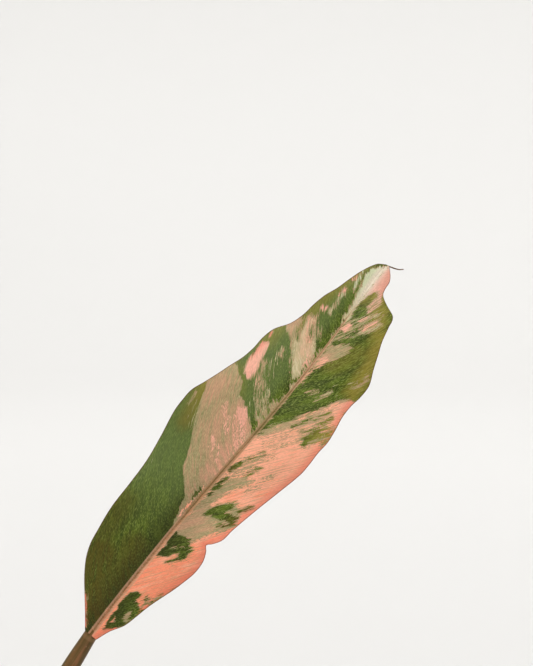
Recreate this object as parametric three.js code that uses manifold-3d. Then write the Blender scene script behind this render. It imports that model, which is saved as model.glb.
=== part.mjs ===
// A young variegated philodendron in a plain terracotta pot. Millimetres, +Z up.
// The origin is the centre of the pot's flat base. The tallest leaf leans towards +X,
// and the upper faces of the leaves turn towards the light, which comes from -Y and above.
import * as THREE from "three";
import { mergeVertices } from "three/addons/utils/BufferGeometryUtils.js";
import Module from "manifold-3d";

const wasm = await Module();
wasm.setup();

// Driving dimensions

const clearance = 0.3; // left between pieces that touch

const pot = {
  height: 108,
  baseRadius: 42,
  rimRadius: 61,
  rimHeight: 24,
  rimStep: 3, // how far the rim band stands out of the wall
  wall: 5,
  floor: 7,
  floorRadius: 38,
  edge: 1.5, // bevel of the rim and the foot
  sides: 48,
  drainHoles: 4,
  drainRadius: 4,
  drainCircle: 24,
  holeSides: 16,
};

const soil = {
  surface: 90, // mean height of its top
  lumps: [[1, 0.31, 0.27, 1.2], [0.7, 0.53, -0.47, 0.5], [0.5, 0.19, 0.61, 1.6]], // height, x, y, phase
  mound: 2.2, // how much higher it is round the stem
  moundRadius: 30,
  sides: 36,
  rings: 6,
};

const stem = {
  bottom: 56,
  top: 121,
  radius: 8,
  nodes: [80, 98, 105, 111, 116],
  ring: [[-1.6, 0], [0, 1.1], [1.2, 0]], // an old leaf's scar: height from the node, swelling
  foot: [[0, 0.7], [4, 1]], // height from the bottom, share of the radius
  crown: [[-2.4, 0.86], [0, 0.5]], // height from the top, share of the radius
  sides: 24,
};

// Aerial roots leave the stem above the soil and go down into it.
const root = {
  radius: 1.9,
  taper: 0.45,
  start: 101,
  route: [[-4, 0], [2, -2], [6, -9], [9, -23]], // out from the stem's skin, up from the start
  headings: [95, 165, 235, 345],
  steps: 8,
  sides: 7,
};

const newLeaf = {
  from: [-1.2, 0.4, 112],
  length: 64,
  straight: 0.45, // share of the length over which it stands upright
  radius: 4.4,
  tipRadius: 0.7,
  taper: 0.8,
  lean: [-0.16, 0.05],
  steps: 12,
  sides: 9,
};

const petiole = {
  radius: [[0, 5.4], [0.12, 4.8], [0.35, 3.9], [0.85, 3.7], [1, 2.9]], // along its length
  offset: 6.2, // from the stem's axis to where it starts
  sink: 4, // how far below its node it starts
  sweep: 0.4, // how long it keeps its first and last direction, as a share of its span
  kink: 6, // how much steeper it arrives than the blade sets off, in degrees
  steps: 14,
  sides: 9,
};

const blade = {
  thickness: 0.9,
  ribDepth: 4.4, // how far the midrib stands out under the blade, at its base
  ribRadius: 3,
  ribShape: [[0, 1], [0.62, 0.7], [1.15, 0]], // shares of the rib's radius and of its depth
  ribMost: 0.5, // the most of a half that the rib takes up
  ribTipShare: 0.16, // what is left of the rib at the tip
  edgeCells: 4, // cells across each half, outside the rib
  crowding: 0.4, // how much closer than the middle ones the rows at both ends lie
  swell: 0.7, // how soon the margins' waves reach their full height
};

// A leaf without an outline of its own: how its half width rises and falls along it.
const spear = { rise: 0.62, fall: 0.8, fullness: 1.82, foot: 3.4, footLength: 0.2, least: 0.9 };
const sway = { width: 0.05, turn: 5 }; // its midrib's gentle double bend

const dripTip = { radius: 0.7, narrowing: 0.35, rows: 4 };

// The tallest leaf. Each edge point is [distance along the blade, distance from its axis].
const tallOutline = {
  left: [
    [0, 4], [6.5, 9], [12.5, 14], [19, 19.3], [25.5, 23.5], [32, 26], [38.5, 27.1], [51, 28.7],
    [64, 29], [76, 29.6], [88, 31.5], [100.5, 33.8], [106.5, 34], [112.5, 33.6], [118.5, 31.4],
    [125, 29.2], [131.5, 27.3], [138, 25.3], [144.5, 24.3], [151, 24], [157, 22.5], [163.5, 18.4],
    [170, 16.4], [176, 15.7], [182.5, 14.4], [189, 12.2], [197, 10.3], [204, 8.3], [211, 5],
    [213.5, 1.6],
  ],
  right: [
    [0, 2.5], [7, 4.8], [13.5, 8.2], [20, 9.8], [26, 11.1], [32, 12.9], [38.5, 15], [44.5, 16.5],
    [51, 17.7], [57.5, 17.4], [62, 15.6], [64.2, 13.9], [66.2, 15.6], [70.3, 18], [76.5, 18.8],
    [88, 21.2], [101, 24.2], [113, 26.7], [119, 27], [125.5, 26.8], [131.5, 27.2], [138, 26.5],
    [144.5, 25.5], [151, 25.5], [157.5, 26.4], [164, 26.2], [170.5, 23.4], [176.5, 21],
    [182.5, 18.6], [189, 17], [195, 15.3], [197.5, 10.2], [200, 6.3], [203, 5.1], [207.5, 4.6],
    [210.5, 3], [213.5, 0.2],
  ],
  midrib: [
    [0, 0.9], [14, 1.3], [35, 1.6], [63, 1.7], [89, 1.5], [106, 0.9], [124, 0.2], [141, -0.2], [169, -0.1],
    [192, 0.9], [202, 1.7], [209, 1.8], [213.5, 0.7],
  ],
};

// axis: heading from +X towards +Y, and rise above the horizon, in degrees.
// facing: the way that the upper face looks. bend: how far the tip curls back, in degrees.
// wave: height of the margins' waves, how many there are, and where they start, left and right.
const leaves = [
  {
    name: "tall",
    node: 115,
    heading: -8,
    rootRise: 80,
    base: [55.2, -24, 229.1],
    axis: [-9, 51.6],
    facing: [-0.02, -1, 0.12],
    length: 213.5,
    outline: tallOutline,
    fold: 0.2,
    curl: 0.16,
    bend: 30,
    wave: { height: 3.2, left: [3.3, 0.42], right: [3.5, 0.1] },
    drip: [[0, 0], [0.6, -1.8], [1.4, -3.8], [2.4, -5.4], [3.6, -6.5]],
    stations: 56,
  },
  {
    name: "back",
    node: 111,
    heading: 138,
    rootRise: 66,
    base: [-38, 32, 236],
    axis: [140, 56],
    facing: [0.25, -1, 0.45],
    length: 186,
    width: 29,
    lobes: { left: [2.6, 0.9, 0.1], right: [3.1, 0.2, 0.09] },
    fold: 0.24,
    curl: 0.2,
    bend: 52,
    wave: { height: 3.4, left: [3.4, 0.1], right: [2.9, 0.55] },
    drip: [[0, 0], [5, 1.5], [9, 5]],
    stations: 22,
  },
  {
    name: "front",
    node: 108,
    heading: 256,
    rootRise: 56,
    base: [-14, -50, 196],
    axis: [256, 44],
    facing: [-0.2, -0.3, 1],
    length: 166,
    width: 28,
    lobes: { left: [3.2, 0.4, 0.09], right: [2.5, 0.8, 0.1] },
    fold: 0.22,
    curl: 0.2,
    bend: 66,
    wave: { height: 3, left: [2.8, 0.7], right: [3.4, 0.2] },
    drip: [[0, 0], [5, -1], [9, -4]],
    stations: 22,
  },
  {
    name: "left",
    node: 105,
    heading: 188,
    rootRise: 52,
    base: [-52, -8, 186],
    axis: [190, 38],
    facing: [0, -1, 0.8],
    length: 150,
    width: 26,
    lobes: { left: [2.8, 0.1, 0.1], right: [3.3, 0.6, 0.08] },
    fold: 0.22,
    curl: 0.18,
    bend: 62,
    wave: { height: 2.8, left: [3.1, 0.3], right: [2.6, 0.9] },
    drip: [[0, 0], [5, 1], [8, 4]],
    stations: 22,
  },
  {
    name: "low_back",
    node: 102,
    heading: 52,
    rootRise: 44,
    base: [33, 40, 158],
    axis: [50, 20],
    facing: [0.1, -0.5, 1],
    length: 138,
    width: 25,
    lobes: { left: [2.4, 0.5, 0.09], right: [2.9, 0.0, 0.1] },
    fold: 0.2,
    curl: 0.2,
    bend: 54,
    wave: { height: 2.6, left: [2.7, 0.0], right: [3.2, 0.45] },
    drip: [[0, 0], [4, -1], [7, -3]],
    stations: 22,
  },
  {
    name: "low_front",
    node: 100,
    heading: 322,
    rootRise: 40,
    base: [38, -34, 146],
    axis: [325, 16],
    facing: [0, -0.7, 1],
    length: 128,
    width: 24,
    lobes: { left: [3.0, 0.2, 0.08], right: [2.3, 0.7, 0.1] },
    fold: 0.2,
    curl: 0.18,
    bend: 58,
    wave: { height: 2.4, left: [3.0, 0.6], right: [2.5, 0.15] },
    drip: [[0, 0], [4, 1], [7, 3]],
    stations: 22,
  },
];

const colours = {
  terracotta: [0xb4694a, 0.85],
  soil: [0x3a2a20, 0.95],
  stem: [0x6f6436, 0.6],
  petiole: [0x8a6844, 0.45],
  newLeaf: [0xb8735c, 0.45],
  leaf: [0x5f7636, 0.42],
};

// Helpers

const radians = THREE.MathUtils.degToRad;
const rightAngle = Math.PI / 2;
const fullTurn = Math.PI * 2;

function direction([heading, rise]) {
  const [h, r] = [radians(heading), radians(rise)];
  return new THREE.Vector3(Math.cos(h) * Math.cos(r), Math.sin(h) * Math.cos(r), Math.sin(r));
}

// The value at x of a smooth curve through [x, value] points.
function curveAt(points, x) {
  let i = 1;
  while (i < points.length - 1 && points[i][0] < x) i++;
  const slope = (k) => {
    const [a, b] = [points[Math.max(k - 1, 0)], points[Math.min(k + 1, points.length - 1)]];
    return (b[1] - a[1]) / (b[0] - a[0]);
  };
  const [[x0, y0], [x1, y1]] = [points[i - 1], points[i]];
  const span = x1 - x0;
  const t = THREE.MathUtils.clamp((x - x0) / span, 0, 1);
  const [t2, t3] = [t * t, t * t * t];
  const start = (2 * t3 - 3 * t2 + 1) * y0 + (t3 - 2 * t2 + t) * span * slope(i - 1);
  return start + (3 * t2 - 2 * t3) * y1 + (t3 - t2) * span * slope(i);
}

function geometryOf(points, faces) {
  const geometry = new THREE.BufferGeometry();
  geometry.setAttribute("position", new THREE.Float32BufferAttribute(points.flat(), 3));
  geometry.setIndex(faces.flat());
  return geometry;
}

function solidOf(geometry) {
  const bare = geometry.clone();
  bare.deleteAttribute("normal");
  bare.deleteAttribute("uv");
  const merged = mergeVertices(bare, 1e-4);
  return new wasm.Manifold(
    new wasm.Mesh({
      numProp: 3,
      vertProperties: new Float32Array(merged.attributes.position.array),
      triVerts: new Uint32Array(merged.index.array),
    }),
  );
}

function geometryFrom(solid) {
  const mesh = solid.getMesh();
  const geometry = new THREE.BufferGeometry();
  geometry.setAttribute("position", new THREE.BufferAttribute(mesh.vertProperties, 3));
  geometry.setIndex(new THREE.BufferAttribute(mesh.triVerts, 1));
  return geometry;
}

function largestBody(solid) {
  return solid.decompose().sort((a, b) => b.volume() - a.volume())[0];
}

function meshOf(name, geometry, [colour, roughness]) {
  geometry.computeVertexNormals();
  const material = new THREE.MeshStandardMaterial({ color: colour, roughness, metalness: 0 });
  const mesh = new THREE.Mesh(geometry, material);
  mesh.name = name;
  return mesh;
}

// A closed round tube along a curve. radiusAt gives its radius from 0 at the start to 1 at the end.
function tube(curve, radiusAt, steps, sides) {
  const frames = curve.computeFrenetFrames(steps, false);
  const points = [];
  const faces = [];
  for (let i = 0; i <= steps; i++) {
    const centre = curve.getPointAt(i / steps);
    for (let j = 0; j < sides; j++) {
      const angle = (j / sides) * fullTurn;
      const point = centre
        .clone()
        .addScaledVector(frames.normals[i], Math.cos(angle) * radiusAt(i / steps))
        .addScaledVector(frames.binormals[i], Math.sin(angle) * radiusAt(i / steps));
      points.push(point.toArray());
    }
  }
  for (let i = 0; i < steps; i++)
    for (let j = 0; j < sides; j++) {
      const [a, b] = [i * sides + j, i * sides + ((j + 1) % sides)];
      faces.push([a, b, b + sides], [a, b + sides, a + sides]);
    }
  for (let j = 1; j < sides - 1; j++) {
    faces.push([0, j + 1, j]);
    const last = steps * sides;
    faces.push([last, last + j, last + j + 1]);
  }
  return geometryOf(points, faces);
}

// A turned piece about +Z from a closed profile of [radius, height] points, listed upwards outside.
function turned(profile, sides) {
  const geometry = new THREE.LatheGeometry(
    profile.map(([radius, height]) => new THREE.Vector2(radius, height)),
    sides,
  );
  return geometry.rotateX(rightAngle);
}

// The pot

function innerRadius(height) {
  const share = (height - pot.floor) / (pot.height - pot.floor);
  const top = pot.rimRadius - pot.wall - pot.edge;
  return pot.floorRadius + (top - pot.floorRadius) * share;
}

function makePot() {
  const { height, edge, floor, rimRadius, rimHeight, rimStep } = pot;
  const rimFoot = height - rimHeight;
  const inside = innerRadius(height);
  const body = turned(
    [
      [0, 0],
      [pot.baseRadius - edge, 0],
      [pot.baseRadius, edge],
      [rimRadius - rimStep, rimFoot],
      [rimRadius - edge / 2, rimFoot],
      [rimRadius, rimFoot + edge],
      [rimRadius, height - edge],
      [rimRadius - edge, height],
      [inside + edge, height],
      [inside, height - edge],
      [innerRadius(rimFoot), rimFoot],
      [innerRadius(floor + edge), floor + edge],
      [innerRadius(floor) - edge, floor],
      [0, floor],
    ],
    pot.sides,
  );
  let solid = solidOf(body);
  for (let i = 0; i < pot.drainHoles; i++) {
    const angle = ((i + 0.5) / pot.drainHoles) * fullTurn;
    const { drainRadius, holeSides } = pot;
    const hole = new THREE.CylinderGeometry(drainRadius, drainRadius, floor * 3, holeSides);
    hole.rotateX(rightAngle);
    hole.translate(Math.cos(angle) * pot.drainCircle, Math.sin(angle) * pot.drainCircle, floor / 2);
    solid = solid.subtract(solidOf(hole));
  }
  return solid;
}

// The soil's top is a shallow mound of lumps, higher round the stem.
function soilHeight(x, y) {
  const mound = soil.mound * Math.exp(-(x * x + y * y) / soil.moundRadius ** 2);
  let height = soil.surface + mound;
  for (const [size, alongX, alongY, phase] of soil.lumps)
    height += size * Math.sin(x * alongX + y * alongY + phase);
  return height;
}

function makeSoil(cutters) {
  const { sides, surface } = soil;
  const bottom = pot.floor + clearance;
  const points = [[0, 0, bottom]];
  const faces = [];
  const rings = [];
  const outer = (height) => innerRadius(height) - clearance;
  const corner = pot.floor + pot.edge;
  const addRing = (radius, heightAt) => {
    rings.push(points.length);
    for (let j = 0; j < sides; j++) {
      const angle = (j / sides) * fullTurn;
      const [x, y] = [Math.cos(angle) * radius, Math.sin(angle) * radius];
      points.push([x, y, heightAt(x, y)]);
    }
  };
  addRing(outer(pot.floor) - pot.edge, () => bottom);
  addRing(outer(corner), () => corner + clearance);
  for (let k = soil.rings; k > 0; k--) addRing((outer(surface) * k) / soil.rings, soilHeight);
  for (let i = 0; i < rings.length - 1; i++)
    for (let j = 0; j < sides; j++) {
      const next = (j + 1) % sides;
      const [a, b] = [rings[i] + j, rings[i] + next];
      const [c, d] = [rings[i + 1] + next, rings[i + 1] + j];
      faces.push([a, b, c], [a, c, d]);
    }
  const top = points.length;
  points.push([0, 0, soilHeight(0, 0)]);
  for (let j = 0; j < sides; j++) {
    const next = (j + 1) % sides;
    faces.push([0, rings[0] + next, rings[0] + j]);
    faces.push([top, rings.at(-1) + j, rings.at(-1) + next]);
  }
  let solid = solidOf(geometryOf(points, faces));
  for (const cutter of cutters) solid = solid.subtract(cutter);
  return largestBody(solid);
}

// The stem, with a ring at each node, and its aerial roots. grow makes a fatter one for cutting.
function makeStem(grow) {
  const { bottom, top, radius } = stem;
  const profile = [[0, bottom - grow]];
  for (const [rise, share] of stem.foot)
    profile.push([radius * share + grow, bottom + rise - (rise ? 0 : grow)]);
  for (const node of stem.nodes)
    for (const [rise, swelling] of stem.ring) profile.push([radius + swelling + grow, node + rise]);
  for (const [rise, share] of stem.crown)
    profile.push([radius * share + grow, top + rise + (rise ? 0 : grow)]);
  profile.push([0, top + grow]);
  let solid = solidOf(turned(profile, stem.sides));
  for (const heading of root.headings) {
    const out = direction([heading, 0]);
    const curve = new THREE.CatmullRomCurve3(
      root.route.map(([away, rise]) =>
        out.clone().multiplyScalar(radius + away).setZ(root.start + rise),
      ),
    );
    const radiusAt = (t) => root.radius * (1 - root.taper * t) + grow;
    solid = solid.add(solidOf(tube(curve, radiusAt, root.steps, root.sides)));
  }
  return solid;
}

function makeNewLeaf(grow) {
  const { from, length, straight, radius, tipRadius, taper, lean } = newLeaf;
  const [x, y, z] = from;
  const curve = new THREE.QuadraticBezierCurve3(
    new THREE.Vector3(x, y, z),
    new THREE.Vector3(x, y, z + length * straight),
    new THREE.Vector3(lean[0] * length, lean[1] * length, z + length),
  );
  const radiusAt = (t) => tipRadius + (radius - tipRadius) * (1 - t * t) ** taper + grow;
  return solidOf(tube(curve, radiusAt, newLeaf.steps, newLeaf.sides));
}

// The leaves

function bladeFrame(leaf) {
  const along = direction(leaf.axis);
  const up = new THREE.Vector3(...leaf.facing);
  up.addScaledVector(along, -up.dot(along)).normalize();
  const left = new THREE.Vector3().crossVectors(up, along);
  return { along, left, up, base: new THREE.Vector3(...leaf.base) };
}

// Half widths of a spear-shaped leaf with shallow lobes.
function spearWidth(leaf, side, s) {
  const t = THREE.MathUtils.clamp(s / leaf.length, 0, 1);
  const [count, phase, depth] = leaf.lobes[side];
  const shape = spear.fullness * t ** spear.rise * (1 - t) ** spear.fall;
  const lobe = 1 + depth * Math.sin(fullTurn * (count * t + phase));
  return Math.max(leaf.width * shape * lobe, spear.foot * (1 - t / spear.footLength), spear.least);
}

// Past the end of the blade the margins close on the drip tip, which is hair-thin.
function middleAt(leaf, s) {
  const past = Math.max(s - leaf.length, 0);
  const t = Math.min(s, leaf.length) / leaf.length;
  const midrib = leaf.outline
    ? curveAt(leaf.outline.midrib, t * leaf.length)
    : leaf.width * sway.width * Math.sin(sway.turn * t);
  return midrib + (past > 0 ? curveAt(leaf.drip, past) : 0);
}

function edgeAt(leaf, side, s) {
  const sign = side === "left" ? 1 : -1;
  if (s > leaf.length) {
    const narrowing = (s - leaf.length) / leaf.drip.at(-1)[0];
    return middleAt(leaf, s) + sign * (dripTip.radius - dripTip.narrowing * narrowing);
  }
  const width = leaf.outline ? curveAt(leaf.outline[side], s) : spearWidth(leaf, side, s);
  return sign * width;
}

// A point on the blade's upper face. v runs from -1 at the right margin to 1 at the left one,
// and below is how far under that face the point lies.
function bladePoint(leaf, frame, s, v, below) {
  const side = v >= 0 ? "left" : "right";
  const middle = middleAt(leaf, s);
  const edge = edgeAt(leaf, side, s);
  const across = middle + (edge - middle) * Math.abs(v);
  const width = Math.abs(edge - middle);
  const [count, phase] = leaf.wave[side];
  const t = s / leaf.length;
  const swell = Math.sin(Math.PI * Math.min(t, 1)) ** blade.swell;
  const wave = leaf.wave.height * swell * v * v * Math.sin(fullTurn * (count * t + phase));
  const lift = width * (leaf.fold * Math.abs(v) - leaf.curl * Math.abs(v) ** 3) + wave - below;
  const bend = radians(leaf.bend);
  const radius = leaf.length / bend;
  const angle = bend * t;
  const x = radius * Math.sin(angle) + lift * Math.sin(angle);
  const z = radius * (Math.cos(angle) - 1) + lift * Math.cos(angle);
  return frame.base
    .clone()
    .addScaledVector(frame.along, x)
    .addScaledVector(frame.left, across)
    .addScaledVector(frame.up, z);
}

// Rows lie closer together at both ends, and the last ones run along the drip tip.
function rowStations(leaf) {
  const rows = [];
  for (let i = 0; i <= leaf.stations; i++) {
    const even = i / leaf.stations;
    rows.push(leaf.length * (even - (blade.crowding * Math.sin(fullTurn * even)) / fullTurn));
  }
  const reach = leaf.drip.at(-1)[0];
  for (let i = 1; i <= dripTip.rows; i++) rows.push(leaf.length + (reach * i) / dripTip.rows);
  return rows;
}

// The columns of one half, from the midrib to the margin, as [v, how deep the rib is there].
function halfColumns(leaf, side, s) {
  const width = Math.abs(edgeAt(leaf, side, s) - middleAt(leaf, s));
  const ribShare = Math.max(1 - (1 - blade.ribTipShare) * (s / leaf.length), 0);
  const rib = Math.min((blade.ribRadius * ribShare) / width, blade.ribMost);
  const half = blade.ribShape.map(([out, deep]) => [out * rib, deep * blade.ribDepth * ribShare]);
  const ribEdge = half.at(-1)[0];
  for (let k = 1; k <= blade.edgeCells; k++)
    half.push([ribEdge + ((1 - ribEdge) * k) / blade.edgeCells, 0]);
  return half;
}

function makeBlade(leaf) {
  const frame = bladeFrame(leaf);
  const stations = rowStations(leaf);
  const upper = [];
  const lower = [];
  for (const s of stations) {
    const right = halfColumns(leaf, "right", s).map(([v, deep]) => [-v, deep]);
    const row = [...right.reverse().slice(0, -1), ...halfColumns(leaf, "left", s)];
    for (const [v, deep] of row) {
      upper.push(bladePoint(leaf, frame, s, v, 0).toArray());
      lower.push(bladePoint(leaf, frame, s, v, blade.thickness + deep).toArray());
    }
  }
  const columns = upper.length / stations.length;
  const faces = [];
  const under = upper.length;
  const rows = stations.length - 1;
  const at = (i, j) => i * columns + j;
  for (let i = 0; i < rows; i++)
    for (let j = 0; j < columns - 1; j++) {
      const [a, b, c, d] = [at(i, j), at(i + 1, j), at(i + 1, j + 1), at(i, j + 1)];
      faces.push([a, b, c], [a, c, d]);
      faces.push([under + a, under + c, under + b], [under + a, under + d, under + c]);
    }
  const wall = (a, b) => faces.push([a, under + a, under + b], [a, under + b, b]);
  for (let i = 0; i < rows; i++) {
    wall(at(i, 0), at(i + 1, 0));
    wall(at(i + 1, columns - 1), at(i, columns - 1));
  }
  for (let j = 0; j < columns - 1; j++) {
    wall(at(0, j + 1), at(0, j));
    wall(at(rows, j), at(rows, j + 1));
  }
  return geometryOf([...upper, ...lower], faces);
}

function makePetiole(leaf, grow) {
  const frame = bladeFrame(leaf);
  const out = direction([leaf.heading, 0]);
  const start = out.clone().multiplyScalar(petiole.offset).setZ(leaf.node - petiole.sink);
  const middle = middleAt(leaf, 0);
  const end = frame.base
    .clone()
    .addScaledVector(frame.left, middle)
    .addScaledVector(frame.up, -(blade.thickness + blade.ribDepth) / 2)
    .addScaledVector(frame.along, -clearance);
  const arrival = direction([leaf.axis[0], leaf.axis[1] + petiole.kink]);
  const reach = start.distanceTo(end) * petiole.sweep;
  const curve = new THREE.CubicBezierCurve3(
    start,
    start.clone().addScaledVector(direction([leaf.heading, leaf.rootRise]), reach),
    end.clone().addScaledVector(arrival, -reach),
    end,
  );
  const radiusAt = (t) => curveAt(petiole.radius, t) + grow;
  return solidOf(tube(curve, radiusAt, petiole.steps, petiole.sides));
}

// Assembly: each piece is cut to stand clear of those that it grows from.
const plant = new THREE.Group();
const add = (name, solid, finish) => plant.add(meshOf(name, geometryFrom(solid), finish));

const stemSolid = makeStem(0);
const stemCutter = makeStem(clearance);
add("pot", makePot(), colours.terracotta);
add("stem", stemSolid, colours.stem);
add("new_leaf", largestBody(makeNewLeaf(0).subtract(stemCutter)), colours.newLeaf);

const cutters = [stemCutter, makeNewLeaf(clearance)];
for (const leaf of leaves) {
  let stalk = makePetiole(leaf, 0);
  for (const cutter of cutters) stalk = stalk.subtract(cutter);
  add(`petiole_${leaf.name}`, largestBody(stalk), colours.petiole);
  cutters.push(makePetiole(leaf, clearance));
  plant.add(meshOf(`leaf_${leaf.name}`, makeBlade(leaf), colours.leaf));
}
add("soil", makeSoil(cutters), colours.soil);

export default plant;
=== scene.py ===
import math
import random

import bpy
import numpy as np
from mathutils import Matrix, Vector


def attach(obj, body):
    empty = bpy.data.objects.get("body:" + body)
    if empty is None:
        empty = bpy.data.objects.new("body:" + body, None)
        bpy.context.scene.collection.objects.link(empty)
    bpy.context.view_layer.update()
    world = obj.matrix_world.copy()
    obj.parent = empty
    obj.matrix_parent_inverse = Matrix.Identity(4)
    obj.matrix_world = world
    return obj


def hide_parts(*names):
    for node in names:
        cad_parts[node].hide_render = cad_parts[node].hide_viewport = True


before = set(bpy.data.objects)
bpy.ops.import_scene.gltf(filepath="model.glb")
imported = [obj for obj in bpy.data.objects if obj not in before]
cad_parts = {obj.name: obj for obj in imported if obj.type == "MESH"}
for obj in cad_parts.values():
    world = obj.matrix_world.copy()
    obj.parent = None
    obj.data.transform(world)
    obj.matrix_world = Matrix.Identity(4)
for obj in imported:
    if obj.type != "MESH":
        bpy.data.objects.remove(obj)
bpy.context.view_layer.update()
mm = 0.001
weldGap = 0.00001  # metres


# Small tools

# Turns 0-255 display values into the linear colour that sockets take.
def srgb(*rgb):
    return tuple(((c / 255 + 0.055) / 1.055) ** 2.4 if c > 10 else c / 3294 for c in rgb)


def deselectAll():
    if bpy.context.object and bpy.context.object.mode != "OBJECT":
        bpy.ops.object.mode_set(mode="OBJECT")
    bpy.ops.object.select_all(action="DESELECT")


def pick(piece):
    deselectAll()
    piece.select_set(True)
    bpy.context.view_layer.objects.active = piece


def readPoints(piece):
    points = np.empty(len(piece.data.vertices) * 3)
    piece.data.vertices.foreach_get("co", points)
    return points.reshape(-1, 3)


def writePoints(piece, points):
    piece.data.vertices.foreach_set("co", points.astype(np.float32).ravel())
    piece.data.update()


# One UV pair for each vertex, handed on to the face corners.
def writeUv(piece, name, uv):
    layer = piece.data.uv_layers[0] if piece.data.uv_layers else piece.data.uv_layers.new()
    layer.name = name
    corners = np.empty(len(piece.data.loops), int)
    piece.data.loops.foreach_get("vertex_index", corners)
    layer.data.foreach_set("uv", uv[corners].astype(np.float32).ravel())


def writeField(piece, name, values):
    field = piece.data.attributes.new(name, "FLOAT", "POINT")
    field.data.foreach_set("value", values.astype(np.float32))


def applyModifier(piece, kind, **settings):
    pick(piece)
    modifier = piece.modifiers.new(kind.title(), kind)
    for key, value in settings.items():
        setattr(modifier, key, value)
    bpy.ops.object.modifier_apply(modifier=modifier.name)


def smoothShade(piece, degrees):
    pick(piece)
    bpy.ops.object.shade_smooth_by_angle(angle=math.radians(degrees))


# Names a finished piece, hangs it on the plant's only body and hides the model's parts that it stands
# for.
def handIn(piece, name, slot, *nodes):
    piece.name = piece.data.name = name
    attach(piece, "root")
    if nodes:
        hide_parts(*nodes)


def makeGrid(rows, columns):
    deselectAll()
    bpy.ops.mesh.primitive_grid_add(x_subdivisions=rows, y_subdivisions=columns, size=2)
    piece = bpy.context.object
    points = readPoints(piece)
    return piece, points[:, 0], points[:, 1]


def closeSeams(piece):
    pick(piece)
    bpy.ops.object.mode_set(mode="EDIT")
    bpy.ops.mesh.select_all(action="SELECT")
    bpy.ops.mesh.remove_doubles(threshold=weldGap)
    bpy.ops.mesh.select_all(action="SELECT")
    bpy.ops.mesh.fill_holes(sides=0)
    bpy.ops.mesh.select_all(action="SELECT")
    bpy.ops.mesh.normals_make_consistent(inside=False)
    bpy.ops.object.mode_set(mode="OBJECT")


# The same smooth curve through [x, value] points as in the part's source.
def curveAt(points, x):
    xs, ys = (np.array(column, float) for column in zip(*points))
    last = len(xs) - 1
    low, high = np.maximum(np.arange(last + 1) - 1, 0), np.minimum(np.arange(last + 1) + 1, last)
    slope = (ys[high] - ys[low]) / (xs[high] - xs[low])
    i = np.clip(np.searchsorted(xs, x), 1, last)
    span = xs[i] - xs[i - 1]
    t = np.clip((x - xs[i - 1]) / span, 0, 1)
    start = (2 * t**3 - 3 * t**2 + 1) * ys[i - 1] + (t**3 - 2 * t**2 + t) * span * slope[i - 1]
    return start + (3 * t**2 - 2 * t**3) * ys[i] + (t**3 - t**2) * span * slope[i]


def ease(low, high, x):
    t = np.clip((x - low) / (high - low), 0, 1)
    return t * t * (3 - 2 * t)


# Smooth seeded roughness between about -1 and 1, from waves in random directions.
def ripples(seed, coordinates, scale, layers=5, finer=1.35, fainter=0.3):
    draw = random.Random(seed)
    total = np.zeros(len(coordinates))
    for layer in range(layers):
        turn = np.array([draw.gauss(0, 1) for _ in range(coordinates.shape[1])])
        turn *= scale * finer**layer / np.linalg.norm(turn)
        total += np.sin(coordinates @ turn + draw.uniform(0, 6.28)) / (1 + fainter * layer)
    return 2 * total / layers


# Shader building

# An output socket that can be used in plain arithmetic.
class Wire:
    def __init__(self, kit, socket):
        self.kit, self.socket = kit, socket

    def join(self, operation, first, second):
        return self.kit.add("Math", {"operation": operation}, {0: first, 1: second})

    def __add__(self, other):
        return self.join("ADD", self, other)

    def __radd__(self, other):
        return self.join("ADD", other, self)

    def __sub__(self, other):
        return self.join("SUBTRACT", self, other)

    def __rsub__(self, other):
        return self.join("SUBTRACT", other, self)

    def __mul__(self, other):
        return self.join("MULTIPLY", self, other)

    def __rmul__(self, other):
        return self.join("MULTIPLY", other, self)

    def __pow__(self, other):
        return self.join("POWER", self, other)

    def __abs__(self):
        return self.join("ABSOLUTE", self, 0)


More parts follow.
